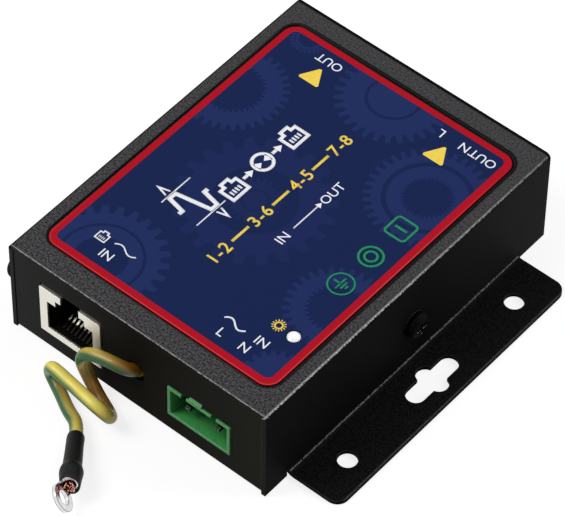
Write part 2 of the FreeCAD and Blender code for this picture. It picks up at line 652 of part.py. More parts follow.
def power_parts():
    """Between the lamp's spacer and the rear header: varistors, tube and fuses."""
    end = HALF_L + HEADER_PROUD - PIN_LEG_Y - PIN_T / 2
    ys = rows([MOV_T, MOV_T, 2 * BIG_TUBE_R, 2 * FUSE_R, 2 * FUSE_R], LED_Y + SPACER_R, end)
    dx = MOV_R + MOV_GAP / 2
    discs = [disc_varistor(HEADER_X - dx, ys[0]), disc_varistor(HEADER_X + dx, ys[0]),
             disc_varistor(HEADER_X, ys[1])]
    tube = two_terminal(BIG_TUBE_R, BIG_TUBE_L, (HEADER_X, ys[2]), BIG_TUBE_CAP)
    fuses = [two_terminal(FUSE_R, FUSE_L, (HEADER_X, y), FUSE_CAP) for y in ys[3:]]
    return Part.makeCompound(discs), tube, Part.makeCompound(fuses)


def wire_start():
    """Where the wire passes the middle of the panel, and the way it leaves."""
    at = V(WIRE_X, -PANEL_Y + SHEET / 2, WIRE_Z)
    way = V(*ROUTE[0]) - at
    way.normalize()
    return at, way


def wire_tail():
    """The wire inside the box: in from the panel, then down on its post."""
    at, way = wire_start()
    inner = at - way * TAIL_RUN
    y, top = -PANEL_Y + POST_BACK, BOARD_TOP + POST_H
    path, _ = cord_path([at, inner, V(POST_X, y, top + TAIL_DROP), V(POST_X, y, top)])
    ring = Part.Wire([Part.Circle(at, way, WIRE_R).toShape()])
    tail = path.makePipeShell([ring], True, True)
    return tail, cyl(POST_R, POST_H, (POST_X, y, BOARD_TOP), (0, 0, 1))


def cord_path(points):
    """Straight runs joined by tangent arcs, each as large as its two runs allow."""
    p = [V(*q) for q in points]
    edges, last, length, tight = [], p[0], 0.0, 1e9
    for i in range(1, len(p) - 1):
        a, b = p[i] - p[i - 1], p[i + 1] - p[i]
        la, lb = a.Length, b.Length
        a.normalize()
        b.normalize()
        turn = acos(max(-1.0, min(1.0, a.dot(b))))
        back = 0.45 * min(la, lb)
        r = back / tan(turn / 2)
        tight = min(tight, r)
        start, end = p[i] - a * back, p[i] + b * back
        inward = b - a
        inward.normalize()
        mid = p[i] + inward * (r / cos(turn / 2) - r)
        edges.append(Part.LineSegment(last, start).toShape())
        edges.append(Part.Arc(start, mid, end).toShape())
        length += (start - last).Length + r * turn
        last = end
    edges.append(Part.LineSegment(last, p[-1]).toShape())
    length += (p[-1] - last).Length
    print("path %.1f mm, tightest bend %.2f" % (length, tight))
    return Part.Wire(edges), length


def ground_wire():
    at, way = wire_start()
    path, length = cord_path([at] + ROUTE)
    ring = Part.Wire([Part.Circle(at, way, WIRE_R).toShape()])
    tube = path.makePipeShell([ring], True, True)
    print("wire %.1f mm, volume %.2f of %.2f" % (length, tube.Volume, pi * WIRE_R ** 2 * length))
    return tube


def wire_end():
    """Sleeve, barrel, ring and strands on the axis of the wire's last run."""
    p1 = V(*ROUTE[-1])
    axis = p1 - V(*ROUTE[-2])
    axis.normalize()

    def place(solid):
        """From the local axis +Z with its start at the origin to the wire's end."""
        turned = solid.copy()
        turned.Placement = FreeCAD.Placement(p1, FreeCAD.Rotation(V(0, 0, 1), axis)).multiply(solid.Placement)
        return turned

    s, b0 = SLEEVE_L, SLEEVE_L + BARREL_OUT - BARREL_L
    corners = [(0, 0), (SLEEVE_R1, 0), (SLEEVE_R2, NECK_TO), (SLEEVE_R3, BULGE_FROM), (SLEEVE_R3, BULGE_TO),
               (SLEEVE_R4, s), (BARREL_R, s), (BARREL_R, b0), (0, b0), (0, 0)]
    profile = Part.makePolygon([V(r, 0, z) for r, z in corners])
    sleeve = place(Part.Face(profile).revolve(V(0, 0, 0), V(0, 0, 1), 360))

    # barrel along the axis, a flat tongue and the ring beyond it, local x is the flat's normal
    end = s + BARREL_OUT
    barrel = cyl(BARREL_R, BARREL_L, (0, 0, b0), (0, 0, 1)).cut(
        cyl(BARREL_BORE_R, BARREL_L + 2, (0, 0, b0 - 1), (0, 0, 1)))
    off = -BARREL_R
    tongue = box(off, off + RING_T, -TONGUE_W / 2, TONGUE_W / 2, s + TONGUE_GAP, end + RING_OFF)
    tongue = tongue.cut(cyl(BARREL_BORE_R, BARREL_L, (0, 0, b0 + BARREL_OUT), (0, 0, 1)))
    disc = cyl(RING_R, RING_T, (off, 0, end + RING_OFF), (1, 0, 0))
    ring = barrel.fuse(tongue).fuse(disc)
    ring = ring.cut(cyl(RING_HOLE_R, RING_T + 2, (off - 1, 0, end + RING_OFF), (1, 0, 0))).removeSplitter()

    strands = []
    for i in range(7):
        a = radians(60 * i)
        k = 0.0 if i == 6 else STRAND_RING
        length = BARREL_L - STRAND_SHORT + STRAND_STEP * (i % 3)
        strands.append(cyl(STRAND_R, length, (k * cos(a), k * sin(a), b0), (0, 0, 1)))
    strands = Part.makeCompound(strands)

    turned = []
    for solid in (ring, strands):
        solid = solid.copy()
        solid.rotate(V(0, 0, 0), V(0, 0, 1), RING_TURN)
        turned.append(place(solid))
    low = min(turned[0].BoundBox.ZMin, sleeve.BoundBox.ZMin)
    centre = p1 + axis * (end + RING_OFF)
    print("wire end: lowest z %.3f, ring centre %.2f %.2f %.2f" % (low, centre.x, centre.y, centre.z))
    return sleeve, turned[0], turned[1]


def main():
    nodes = {"top_cover": top_cover(), "base_tray": base_tray(), "face_label": face_label(),
             "cover_screws": cover_screws(), "circuit_board": circuit_board(),
             "board_standoffs": board_standoffs(), "board_screws": board_screws()}
    for name, make, x, proud in (("jack_shield", jack_shield, JACK_X, JACK_PROUD),
                                 ("jack_insert", jack_insert, JACK_X, JACK_PROUD),
                                 ("jack_contacts", jack_contacts, JACK_X, JACK_PROUD),
                                 ("header_body", header_body, HEADER_X, HEADER_PROUD),
                                 ("header_pins", header_pins, HEADER_X, HEADER_PROUD)):
        nodes["input_" + name], nodes["output_" + name] = front_and_rear(make(), x, proud)
    nodes["status_led"], rim = status_led()
    nodes["led_spacer"] = led_spacer(rim)
    nodes["gas_tubes"], nodes["suppressor_arrays"], nodes["line_magnetics"] = line_parts()
    nodes["line_varistors"], nodes["power_gas_tube"], nodes["thermal_fuses"] = power_parts()
    nodes["ground_wire_tail"], nodes["ground_post"] = wire_tail()
    nodes["ground_wire"] = ground_wire()
    nodes["wire_sleeve"], nodes["ring_terminal"], nodes["wire_strands"] = wire_end()
    for name, shape in nodes.items():
        if not shape.isValid():
            print("not valid:", name)
        shape.exportStep("parts/%s.step" % name)
    print(len(nodes), "nodes")


main()
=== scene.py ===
import random
from math import cos, exp, pi, radians, sin

import bpy
from mathutils import Matrix, Vector


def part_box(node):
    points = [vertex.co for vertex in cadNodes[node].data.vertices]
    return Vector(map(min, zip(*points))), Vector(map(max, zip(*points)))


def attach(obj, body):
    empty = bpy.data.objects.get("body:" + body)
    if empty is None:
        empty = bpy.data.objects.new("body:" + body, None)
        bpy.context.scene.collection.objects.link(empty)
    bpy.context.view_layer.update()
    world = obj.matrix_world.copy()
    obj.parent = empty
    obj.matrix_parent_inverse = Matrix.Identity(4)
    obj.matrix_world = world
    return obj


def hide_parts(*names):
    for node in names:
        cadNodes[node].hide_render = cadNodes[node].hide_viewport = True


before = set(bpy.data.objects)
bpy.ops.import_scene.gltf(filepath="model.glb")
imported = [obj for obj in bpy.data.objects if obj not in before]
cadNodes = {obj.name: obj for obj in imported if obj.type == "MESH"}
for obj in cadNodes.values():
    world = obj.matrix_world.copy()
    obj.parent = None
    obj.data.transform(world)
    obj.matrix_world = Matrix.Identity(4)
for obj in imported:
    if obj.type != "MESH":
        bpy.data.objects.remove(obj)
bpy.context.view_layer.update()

mm = 0.001
plainWhite = (1, 1, 1, 1)
unit = (0, 1)
print("frame loaded:", len(cadNodes), "nodes")

# small helpers for shader nodes


def setSocket(socket, value):
    # a number or a colour is written on the socket, and an output is linked to it
    if isinstance(value, (int, float, tuple)):
        socket.default_value = value
    else:
        socket.id_data.links.new(value, socket)


def feed(node, values):
    for name, value in values.items():
        setSocket(node.inputs[name], value)


def addNode(beside, kind):
    # a new node in the tree that this output or node is in
    return beside.id_data.nodes.new("ShaderNode" + kind)


def addMath(operation, *values):
    node = addNode([v for v in values if not isinstance(v, (int, float))][0], "Math")
    node.operation = operation
    for socket, value in zip(node.inputs, values):
        setSocket(socket, value)
    return node.outputs[0]


def plus(first, second):
    return addMath("ADD", first, second)


def minus(first, second):
    return addMath("SUBTRACT", first, second)


def times(first, *others):
    for other in others:
        first = addMath("MULTIPLY", first, other)
    return first


def gap(first, second):
    # how far two values are apart
    return addMath("ABSOLUTE", minus(first, second))


def slant(x, y):
    # the length of the line whose sides are x and y
    return addMath("SQRT", plus(times(x, x), times(y, y)))


def mixColours(mask, first, second):
    node = addNode(mask, "Mix")
    node.data_type = "RGBA"
    for socket, value in zip([s for s in node.inputs if s.enabled], (mask, first, second)):
        setSocket(socket, value)
    return [s for s in node.outputs if s.enabled][0]


def mapRange(value, source, target):
    node = addNode(value, "MapRange")
    names = ("Value", "From Min", "From Max", "To Min", "To Max")
    feed(node, dict(zip(names, (value, *source, *target))))
    return node.outputs[0]


def clampUnit(value):
    node = addNode(value, "Clamp")
    feed(node, {"Value": value})
    return node.outputs[0]


def softStep(first, second, width):
    # 1 where first is over second and 0 where it is under, with a slope of this width between them
    return clampUnit(plus(addMath("DIVIDE", minus(first, second), width), 0.5))


def colourStops(value, stops):
    # a colour that runs through named places: each stop is a place from 0 to 1 and its colour
    node = addNode(value, "ValToRGB")
    ramp = node.color_ramp
    while len(ramp.elements) < len(stops):
        ramp.elements.new(0.5)
    for element, (place, _) in zip(ramp.elements, stops):
        element.position = place
    for element, (_, colour) in zip(ramp.elements, stops):
        element.color = colour
    feed(node, {"Fac": value})
    return node.outputs["Color"]


def objectPoint(tree):
    return tree.nodes.new("ShaderNodeTexCoord").outputs["Object"]


def splitVector(vector):
    split = addNode(vector, "SeparateXYZ")
    setSocket(split.inputs[0], vector)
    return split.outputs


def objectMillimetres(tree):
    return [times(output, 1 / mm) for output in splitVector(objectPoint(tree))]


def faceNormal(tree):
    return splitVector(tree.nodes.new("ShaderNodeNewGeometry").outputs["Normal"])


def addNoise(point, scale, detail=2.0, rough=0.5):
    noise = addNode(point, "TexNoise")
    feed(noise, {"Vector": point, "Scale": scale, "Detail": detail, "Roughness": rough})
    return noise.outputs["Fac"]


def addBump(shader, height, strength, depth, normal=None):
    lump = addNode(shader, "Bump")
    feed(lump, {"Strength": strength, "Distance": depth * mm, "Height": height})
    if normal is not None:
        feed(lump, {"Normal": normal})
    feed(shader, {"Normal": lump.outputs[0]})


def newGroup(name, inputs, outputs):
    group = bpy.data.node_groups.new(name, "ShaderNodeTree")
    for label in inputs:
        group.interface.new_socket(name=label, in_out="INPUT", socket_type="NodeSocketFloat")
    for label, kind in outputs:
        group.interface.new_socket(name=label, in_out="OUTPUT", socket_type="NodeSocket" + kind)
    start, end = group.nodes.new("NodeGroupInput"), group.nodes.new("NodeGroupOutput")
    return group, start.outputs, end


def useGroup(tree, group, **values):
    node = tree.nodes.new("ShaderNodeGroup")
    node.node_tree = group
    feed(node, values)
    return node.outputs


def rgb(r, g, b):
    # a screen colour from 0 to 255, turned into linear light
    line = [(c / 255 / 12.92) if c <= 10 else ((c / 255 + 0.055) / 1.055) ** 2.4 for c in (r, g, b)]
    return (*line, 1.0)


def grey(level):
    return rgb(level, level, level)


def newMaterial(name, rough=0.5, specular=0.5, metallic=0.0):
    material = bpy.data.materials.new(name)
    material.use_nodes = True
    shader = material.node_tree.nodes["Principled BSDF"]
    feed(shader, {"Roughness": rough, "Specular IOR Level": specular, "Metallic": metallic})
    return material, material.node_tree, shader


# camera, floor and light

cameraView = {"azimuth": 39.689, "elevation": 50.026, "roll": 0.821, "distance": 0.8156,
              "target": (-0.00339, 0.00436, 0.0), "lens": 256.5, "sensor": 36, "near": 0.01}


def addCamera(view):
    a, e, r = radians(view["azimuth"]), radians(view["elevation"]), radians(view["roll"])
    back = Vector((sin(a) * cos(e), -cos(a) * cos(e), sin(e)))
    side = Vector((0, 0, 1)).cross(back).normalized()
    over = back.cross(side)
    right = side * cos(r) + over * sin(r)
    up = over * cos(r) - side * sin(r)
    bpy.ops.object.camera_add()
    cam = bpy.context.object
    cam.name = "photoCamera"
    turn = Matrix((right, up, back)).transposed().to_4x4()
    cam.matrix_world = Matrix.Translation(Vector(view["target"]) + back * view["distance"]) @ turn
    cam.data.lens = view["lens"]
    cam.data.sensor_width = view["sensor"]
    cam.data.clip_start = view["near"]
    bpy.context.scene.camera = cam


softLights = {
    "keyFrontLeft": {"place": (-0.55, -0.55, 0.95), "size": 0.55, "power": 8.0},
    "topRear": {"place": (0.45, 0.70, 0.85), "size": 0.60, "power": 4.0},
    "edgeRight": {"place": (0.85, 0.55, 0.46), "size": 0.25, "power": 2.0},
}


def addLights(lights):
    for name, values in lights.items():
        bpy.ops.object.light_add(type="AREA", location=values["place"])
        lamp = bpy.context.object
        lamp.name = name
        lamp.data.size = values["size"]
        lamp.data.energy = values["power"]
        lamp.rotation_euler = Vector(values["place"]).to_track_quat("Z", "Y").to_euler()


def seenByCamera(tree):
    # 1 for what the camera sees, straight or by way of a shiny or a clear surface
    path = tree.nodes.new("ShaderNodeLightPath").outputs
    straight = addMath("MAXIMUM", path["Is Camera Ray"], path["Is Glossy Ray"])
    return addMath("MAXIMUM", straight, path["Is Transmission Ray"])


stageLook = {"ambient": 0.26, "floorSize": 6.0, "floorDrop": 0.05, "floorColour": (0.30, 0.30, 0.30, 1),
             "floorLift": 0.80}


def addStage(look):
    world = bpy.data.worlds.new("paleStudio")
    bpy.context.scene.world = world
    world.use_nodes = True
    tree = world.node_tree
    strength = mapRange(seenByCamera(tree), unit, (look["ambient"], 1.0))
    feed(tree.nodes["Background"], {"Color": plainWhite, "Strength": strength})

    bpy.ops.mesh.primitive_plane_add(size=look["floorSize"], location=(0, 0, -look["floorDrop"] * mm))
    floor = bpy.context.object
    floor.name = "paleFloor"
    paper, tree, shader = newMaterial("palePaper", rough=1.0, specular=0.0)
    feed(shader, {"Base Color": look["floorColour"], "Emission Color": plainWhite,
                  "Emission Strength": times(seenByCamera(tree), look["floorLift"])})
    floor.data.materials.append(paper)


bpy.context.scene.view_settings.view_transform = "Standard"
addCamera(cameraView)
addLights(softLights)
addStage(stageLook)
print("camera, lights and floor")

# groups of shader nodes that several finishes share


def makeGrain():
    group, start, end = newGroup("grain", ("Fine", "Coarse", "Contrast"),
                                 [("Speckle", "Float"), ("Height", "Float"), ("Cloud", "Float")])
    point = objectPoint(group)
    fine = addNoise(point, start["Fine"], detail=3.0, rough=0.62)
    stretched = times(minus(fine, 0.5), start["Contrast"])
    feed(end, {"Speckle": clampUnit(plus(stretched, 0.5)), "Height": fine,
               "Cloud": addNoise(point, start["Coarse"])})
    return group


def makeEdges():
    # a mask along edges, for their wear and for the highlight or shade painted along them
    group, start, end = newGroup("edge wear and painted light", ("Radius", "Gain"),
                                 [("Mask", "Float"), ("Round Normal", "Vector")])
    bevel, geometry, dot = [group.nodes.new("ShaderNode" + k) for k in ("Bevel", "NewGeometry", "VectorMath")]
    bevel.samples = 4
    feed(bevel, {"Radius": start["Radius"]})
    dot.operation = "DOT_PRODUCT"
    for socket, node in zip(dot.inputs, (bevel, geometry)):
        setSocket(socket, node.outputs["Normal"])
    bend = times(minus(1.0, dot.outputs["Value"]), start["Gain"])
    feed(end, {"Mask": addMath("MINIMUM", bend, 1.0), "Round Normal": bevel.outputs["Normal"]})
    return group


gearParts = ("Centre X", "Centre Y", "Outer", "Root", "Inner", "Inner Tooth", "Teeth", "Groove",
             "Groove Width", "Strength")


def makeGear():
    # one gear, in mm: teeth on its rim, a bore that may have teeth as well, and a round groove
    group, start, end = newGroup("gear mark", gearParts, [("Mask", "Float")])
    toothSoft, edgeSoft = 0.9, 0.16
    x, y, _ = objectMillimetres(group)
    x = minus(x, start["Centre X"])
    y = minus(y, start["Centre Y"])
    r = slant(x, y)
    wave = addMath("SINE", times(addMath("ARCTAN2", y, x), start["Teeth"]))
    tooth = softStep(wave, 0.0, toothSoft)
    depth = minus(start["Outer"], start["Root"])
    rim = plus(start["Root"], times(depth, tooth))
    bore = minus(start["Inner"], times(start["Inner Tooth"], tooth))
    outside = softStep(rim, r, edgeSoft)
    inside = softStep(r, bore, edgeSoft)
    groove = softStep(gap(r, start["Groove"]), start["Groove Width"], edgeSoft)
    feed(end, {"Mask": times(outside, inside, start["Strength"], groove)})
    return group


def makeRoundInset():
    # how far a place lies inside a rounded rectangle, in mm
    parts = ("Centre X", "Centre Y", "Half Width", "Half Length", "Corner")
    group, start, end = newGroup("round inset", parts, [("Inset", "Float")])
    x, y, _ = objectMillimetres(group)
    past = []
    for place, centre, half in ((x, "Centre X", "Half Width"), (y, "Centre Y", "Half Length")):
        straight = minus(start[half], start["Corner"])
        past.append(minus(gap(place, start[centre]), straight))
    atCorner = slant(*[addMath("MAXIMUM", p, 0.0) for p in past])
    flat = addMath("MINIMUM", addMath("MAXIMUM", *past), 0.0)
    feed(end, {"Inset": minus(start["Corner"], plus(atCorner, flat))})
    return group


grain, edges, gearMark, roundInset = makeGrain(), makeEdges(), makeGear(), makeRoundInset()
print("shader groups")

# finishes: dark and light are the two ends of the grain, edge is the colour along the edges, mostly a painted
# highlight and partly wear, and radius is how far it reaches in mm

coatFacts = {"clouds": (0.35, 0.65), "clouding": (0.0, 0.35), "litFrom": 0.25, "litSoft": 0.3,
             "smoother": 0.08, "rougher": 0.10, "depth": 0.05}


def addTexture(shader, value, height, rough, bump, facts, edgeWearAndLight):
    span = (rough - facts["smoother"], rough + facts["rougher"])
    feed(shader, {"Roughness": mapRange(value, unit, span)})
    addBump(shader, height, bump, facts["depth"], edgeWearAndLight["Round Normal"])


def coatFinish(name, dark, light, edge, rough, fine, specular=0.5, bump=0.1, contrast=2.2, coarse=260.0,
               radius=0.16, gain=5.0, deepShade=None, litEdges=False):
    facts = coatFacts
    material, tree, shader = newMaterial(name, specular=specular)
    sand = useGroup(tree, grain, Fine=fine, Coarse=coarse, Contrast=contrast)
    edgeWearAndLight = useGroup(tree, edges, Radius=radius * mm, Gain=gain)
    tone = mixColours(sand["Speckle"], dark, light)
    tone = mixColours(mapRange(sand["Cloud"], facts["clouds"], facts["clouding"]), tone, dark)
    if deepShade is not None:
        # painted shade, darker towards the back of an opening in the front or the rear end
        end = addMath("ABSOLUTE", objectMillimetres(tree)[1])
        tone = mixColours(mapRange(end, deepShade["span"], deepShade["share"]), tone, deepShade["colour"])
    mask = edgeWearAndLight["Mask"]
    if litEdges:
        # only the edges that face up get a painted highlight
        mask = times(mask, softStep(faceNormal(tree)[2], facts["litFrom"], facts["litSoft"]))
    feed(shader, {"Base Color": mixColours(mask, tone, edge)})
    addTexture(shader, sand["Speckle"], sand["Height"], rough, bump, facts, edgeWearAndLight)
    return material


metalFacts = {"detail": 3.0, "streakRough": 0.6, "smoother": 0.08, "rougher": 0.12, "bump": 0.12,
              "depth": 0.03}


def metalFinish(name, dark, light, rough, fine=1500.0, stretch=(1, 1, 1), radius=0.08, edge=None, gain=3.0):
    facts = metalFacts
    material, tree, shader = newMaterial(name, metallic=1.0)
    place = addNode(shader, "Mapping")
    feed(place, {"Scale": stretch, "Vector": objectPoint(tree)})
    streak = addNoise(place.outputs[0], fine, facts["detail"], facts["streakRough"])
    edgeWearAndLight = useGroup(tree, edges, Radius=radius * mm, Gain=gain)
    tone = mixColours(streak, dark, light)
    if edge is not None:
        tone = mixColours(edgeWearAndLight["Mask"], tone, edge)
    feed(shader, {"Base Color": tone})
    addTexture(shader, streak, streak, rough, facts["bump"], facts, edgeWearAndLight)
    return material


coats = {
    # black screw heads: the light edge colour paints small glints on the edges that face up
    "screwBlack": dict(
        dark=grey(4), light=grey(10), edge=grey(240), rough=0.4, specular=0.02, fine=1800.0, bump=0.15,
        contrast=1.4, radius=0.1, gain=8.0, litEdges=True),
    "jackPlastic": dict(
        dark=grey(8), light=grey(20), edge=grey(42), rough=0.45, specular=0.06, fine=2600.0, bump=0.12,
        contrast=1.2, radius=0.08),
    # green header: painted shade deeper inside its opening, and a painted highlight along its rims
    "greenPlastic": dict(
        dark=rgb(54, 140, 68), light=rgb(80, 172, 96), edge=rgb(166, 222, 180), rough=0.38, specular=0.2,
        fine=1400.0, contrast=1.2, radius=0.2, gain=6.0,
        deepShade={"span": (43.3, 37.2), "share": (0.0, 0.9), "colour": rgb(10, 44, 20)}),
    "spacerPlastic": dict(
        dark=grey(16), light=grey(36), edge=grey(60), rough=0.5, specular=0.1, fine=2000.0),
    "boardMask": dict(
        dark=rgb(14, 74, 36), light=rgb(26, 104, 54), edge=rgb(150, 140, 90), rough=0.35, fine=900.0),
    "ceramicBody": dict(
        dark=rgb(206, 200, 190), light=rgb(236, 230, 220), edge=rgb(250, 246, 240), rough=0.3, fine=1200.0,
        bump=0.05),
    "chipBody": dict(
        dark=rgb(20, 20, 22), light=rgb(40, 40, 42), edge=grey(66), rough=0.6, specular=0.3, fine=3200.0,
        bump=0.2),
    "chokeBlock": dict(
        dark=rgb(26, 26, 30), light=rgb(46, 46, 50), edge=rgb(80, 80, 84), rough=0.4, specular=0.4,
        fine=1500.0),
    "discLacquer": dict(
        dark=rgb(24, 64, 140), light=rgb(44, 92, 178), edge=rgb(90, 130, 200), rough=0.3, fine=700.0,
        bump=0.3),
    "tailJacket": dict(
        dark=rgb(206, 156, 36), light=rgb(238, 202, 60), edge=rgb(240, 210, 90), rough=0.4, specular=0.45,
        fine=1500.0, contrast=1.0),
}
metals = {
    "jackMetal": dict(
        dark=rgb(212, 208, 198), light=rgb(240, 237, 228), rough=0.34, fine=900.0, stretch=(1, 1, 6)),
    "zincPlate": dict(dark=rgb(168, 172, 176), light=rgb(206, 208, 210), rough=0.35),
    # header pins: the tin's dark tones are painted shade inside the header, and the light edge colour paints
    # small glints
    "pinTin": dict(
        dark=rgb(14, 28, 17), light=rgb(28, 46, 31), rough=0.45, radius=0.06, edge=rgb(210, 224, 212),
        gain=5.0),
    "brassPost": dict(dark=rgb(170, 130, 64), light=rgb(206, 168, 96), rough=0.3),
    # ring lug: the dark edge colour paints shade along its edges
    "lugTin": dict(dark=grey(196), light=grey(246), rough=0.16, fine=1200.0, radius=0.3, edge=grey(38),
                   gain=12.0),
    "copperHair": dict(dark=rgb(146, 54, 42), light=rgb(244, 190, 172), rough=0.28, fine=2500.0),
}
finishes = {name: coatFinish(name, **values) for name, values in coats.items()}
finishes.update({name: metalFinish(name, **values) for name, values in metals.items()})

# the cover's sandy coat: grey and grainy where it faces up, with a painted sheen, nearly black on the walls,
# with painted light and shade along them, a light, uneven painted highlight over the right and the front
# bend, and places on it in mm

labelBorder = {"Half Width": 29.2, "Half Length": 38.1, "Corner": 3.2}
coverLook = {
    "halfWidth": 33.0, "halfLength": 43.75, "height": 24.8, "bend": 1.2, "bendSoft": 0.1,
    "specular": 0.015, "rough": (0.55, 0.72), "bump": 0.5, "depth": 0.05,
    "grain": {"Fine": 2300.0, "Coarse": 240.0, "Contrast": 3.8},
    "edges": {"Radius": 0.2 * mm, "Gain": 3.0}, "edgeShare": 0.5, "edge": grey(120),
    "topDark": rgb(35, 35, 36), "topLight": rgb(87, 85, 87), "topGrain": (1.1, 0.6),
    "upFrom": 0.72, "upSoft": 0.3, "sideFrom": 0.5, "sideSoft": 0.2,
    # the walls' tones, from left to right and from front to rear: painted light and shade across the front
    # and along the side
    "front": [(0.0, grey(56)), (0.5, rgb(20, 18, 12)), (1.0, rgb(38, 38, 34))],
    "side": [(0.0, grey(12)), (0.55, grey(10)), (0.86, grey(30)), (1.0, grey(34))],
    "wallFlecks": (0.0, 0.05), "wallLight": grey(62),
    # painted highlight lines along the flange's foot and rim: place, half width and colour
    "flange": {"dark": grey(11), "light": grey(28), "under": 12.0, "soft": 1.0,
               "lines": [(33.25, 0.06, grey(120)), (45.5, 0.10, grey(74))],
               "lineSoft": 0.14, "lineJag": 0.5, "upFrom": 0.2, "upSoft": 0.1},
    "lineFade": (0.35, 1.0),
    "sideLine": {"middle": 0.75, "half": 0.15, "soft": 0.24, "jag": 0.55, "dull": 0.25, "rear": 0.4,
                 "colour": grey(228)},
    "frontLine": {"middle": 0.85, "half": 0.03, "soft": 0.12, "jag": 0.4, "dull": 0.3, "rear": 1.0,
                  "colour": grey(212)},
    # painted shade in a band round the label's recess, thin at the left and the front, wide at the right and
    # the rear
    "recessShade": {"out": 0.55, "turn": (0.75, 1.25), "half": (0.1, 0.55), "soft": 0.4, "colour": grey(18)},
    # the left and the rear bend turn away from the light
    "farEdge": {"from": -0.75, "soft": 0.3, "above": 23.6, "aboveSoft": 0.2, "colour": grey(12)},
}


def coverFinish(look):
    material, tree, shader = newMaterial("sandyCoat", specular=look["specular"])
    x, y, z = objectMillimetres(tree)
    sideFace, _, upFace = faceNormal(tree)
    sand = useGroup(tree, grain, **look["grain"])
    edgeWearAndLight = useGroup(tree, edges, **look["edges"])
    halfWidth, halfLength = look["halfWidth"], look["halfLength"]
    across = mapRange(x, (-halfWidth, halfWidth), unit)
    along = mapRange(y, (-halfLength, halfLength), unit)

    contrast = mapRange(along, unit, look["topGrain"])
    speckle = plus(times(minus(sand["Speckle"], 0.5), contrast), 0.5)
    top = mixColours(clampUnit(speckle), look["topDark"], look["topLight"])
    flange = look["flange"]
    # painted shade: the flange, low down by the wall, is darker than the top
    low = softStep(flange["under"], z, flange["soft"])
    top = mixColours(low, top, mixColours(sand["Speckle"], flange["dark"], flange["light"]))
    # the upward faces get the top's painted sheen and the walls their painted light and shade
    sideways = softStep(addMath("ABSOLUTE", sideFace), look["sideFrom"], look["sideSoft"])
    wall = mixColours(sideways, colourStops(across, look["front"]),
                      colourStops(along, look["side"]))
    flecks = mapRange(sand["Speckle"], unit, look["wallFlecks"])
    upward = softStep(upFace, look["upFrom"], look["upSoft"])
    base = mixColours(upward, mixColours(flecks, wall, look["wallLight"]), top)

    over = minus(z, look["height"] - look["bend"])
    jag = minus(sand["Height"], 0.5)
    forward = times(y, -1.0)
    # painted highlight lines along the right and the front bend
    for place, half, line in ((x, halfWidth, look["sideLine"]), (forward, halfLength, look["frontLine"])):
        out = minus(place, half - look["bend"])
        turn = plus(addMath("ARCTAN2", over, out), times(jag, line["jag"]))
        band = softStep(line["half"], gap(turn, line["middle"]), line["soft"])
        onBend = [softStep(side, 0.0, look["bendSoft"]) for side in (out, over)]
        fleck = mapRange(sand["Speckle"], unit, (line["dull"], 1.0))
        fade = mapRange(along, look["lineFade"], (1.0, line["rear"]))
        base = mixColours(times(band, *onBend, fleck, fade), base, line["colour"])
    # the painted highlight lines on the flange's upward faces
    facing = softStep(upFace, flange["upFrom"], flange["upSoft"])
    for level, half, colour in flange["lines"]:
        off = plus(gap(x, level), times(jag, flange["lineJag"]))
        band = softStep(half, off, flange["lineSoft"])
        base = mixColours(times(band, facing, low), base, colour)

    # the painted shade round the label's recess
    recess = look["recessShade"]
    inset = useGroup(tree, roundInset, **labelBorder)["Inset"]
    half = mapRange(plus(across, along), recess["turn"], recess["half"])
    band = softStep(half, gap(inset, -recess["out"]), recess["soft"])
    base = mixColours(times(band, upward), base, recess["colour"])
    # a painted highlight along the cover's edges
    base = mixColours(times(edgeWearAndLight["Mask"], look["edgeShare"]), base, look["edge"])
    far = look["farEdge"]
    behind = minus(y, halfLength)
    leftward = minus(times(x, -1.0), halfWidth)
    past = softStep(addMath("MAXIMUM", behind, leftward), far["from"], far["soft"])
    high = softStep(z, far["above"], far["aboveSoft"])
    feed(shader, {"Base Color": mixColours(times(past, high), base, far["colour"]),
                  "Roughness": mapRange(sand["Speckle"], unit, look["rough"])})
    addBump(shader, sand["Height"], look["bump"], look["depth"], edgeWearAndLight["Round Normal"])
    return material


labelLook = {
    "navy": rgb(23, 37, 79), "gearTint": rgb(35, 48, 97), "gearShare": 0.85, "drift": (-0.12, 0.12),
    # the red border is a little thinner at the left and the rear, and its side faces get a darker, painted
    # shade
    "field": {"Centre X": -0.16, "Centre Y": 0.2, "Half Width": 27.56, "Half Length": 36.5, "Corner": 1.5},
    "red": rgb(180, 20, 36), "borderSoft": 0.12, "redDeep": rgb(84, 6, 14), "sideUnder": 0.7, "sideSoft": 0.1,
    # a fine pink painted highlight just inside the film's edge, which shows towards the front right
    "pinkHighlight": {"inset": 0.24, "half": 0.07, "soft": 0.08, "from": 8.0, "fade": 30.0,
                 "colour": rgb(200, 84, 88)},
    # the gears behind the print, in the order of gearParts
    "gears": [(-17.0, -34.6, 13.6, 11.6, 5.5, 0.0, 26.0, 8.6, 0.35, 1.0),
              (-26.6, 16.2, 11.5, 9.9, 6.6, 0.7, 34.0, 0.0, 0.4, 1.0),
              (-0.4, 35.2, 12.2, 10.2, -1.0, 0.0, 30.0, 5.6, 0.35, 1.0),
              (21.5, 19.0, 13.0, 11.2, 5.4, 0.6, 36.0, 8.8, 0.5, 1.0),
              (-3.9, -3.7, 16.6, 14.0, 8.8, 0.0, 22.0, 0.0, 0.4, 0.5),
              (-3.9, -3.7, 5.8, 4.7, -1.0, 0.0, 24.0, 2.7, 0.25, 0.5),
              (25.8, -14.5, 10.4, 8.8, 6.0, 0.7, 30.0, 0.0, 0.4, 1.0),
              (27.6, -35.2, 6.6, 5.4, -1.0, 0.0, 20.0, 0.0, 0.4, 1.0),
              (-23.7, 36.6, 4.2, 3.5, 2.3, 0.0, 26.0, 3.1, 0.12, 1.0)],
}


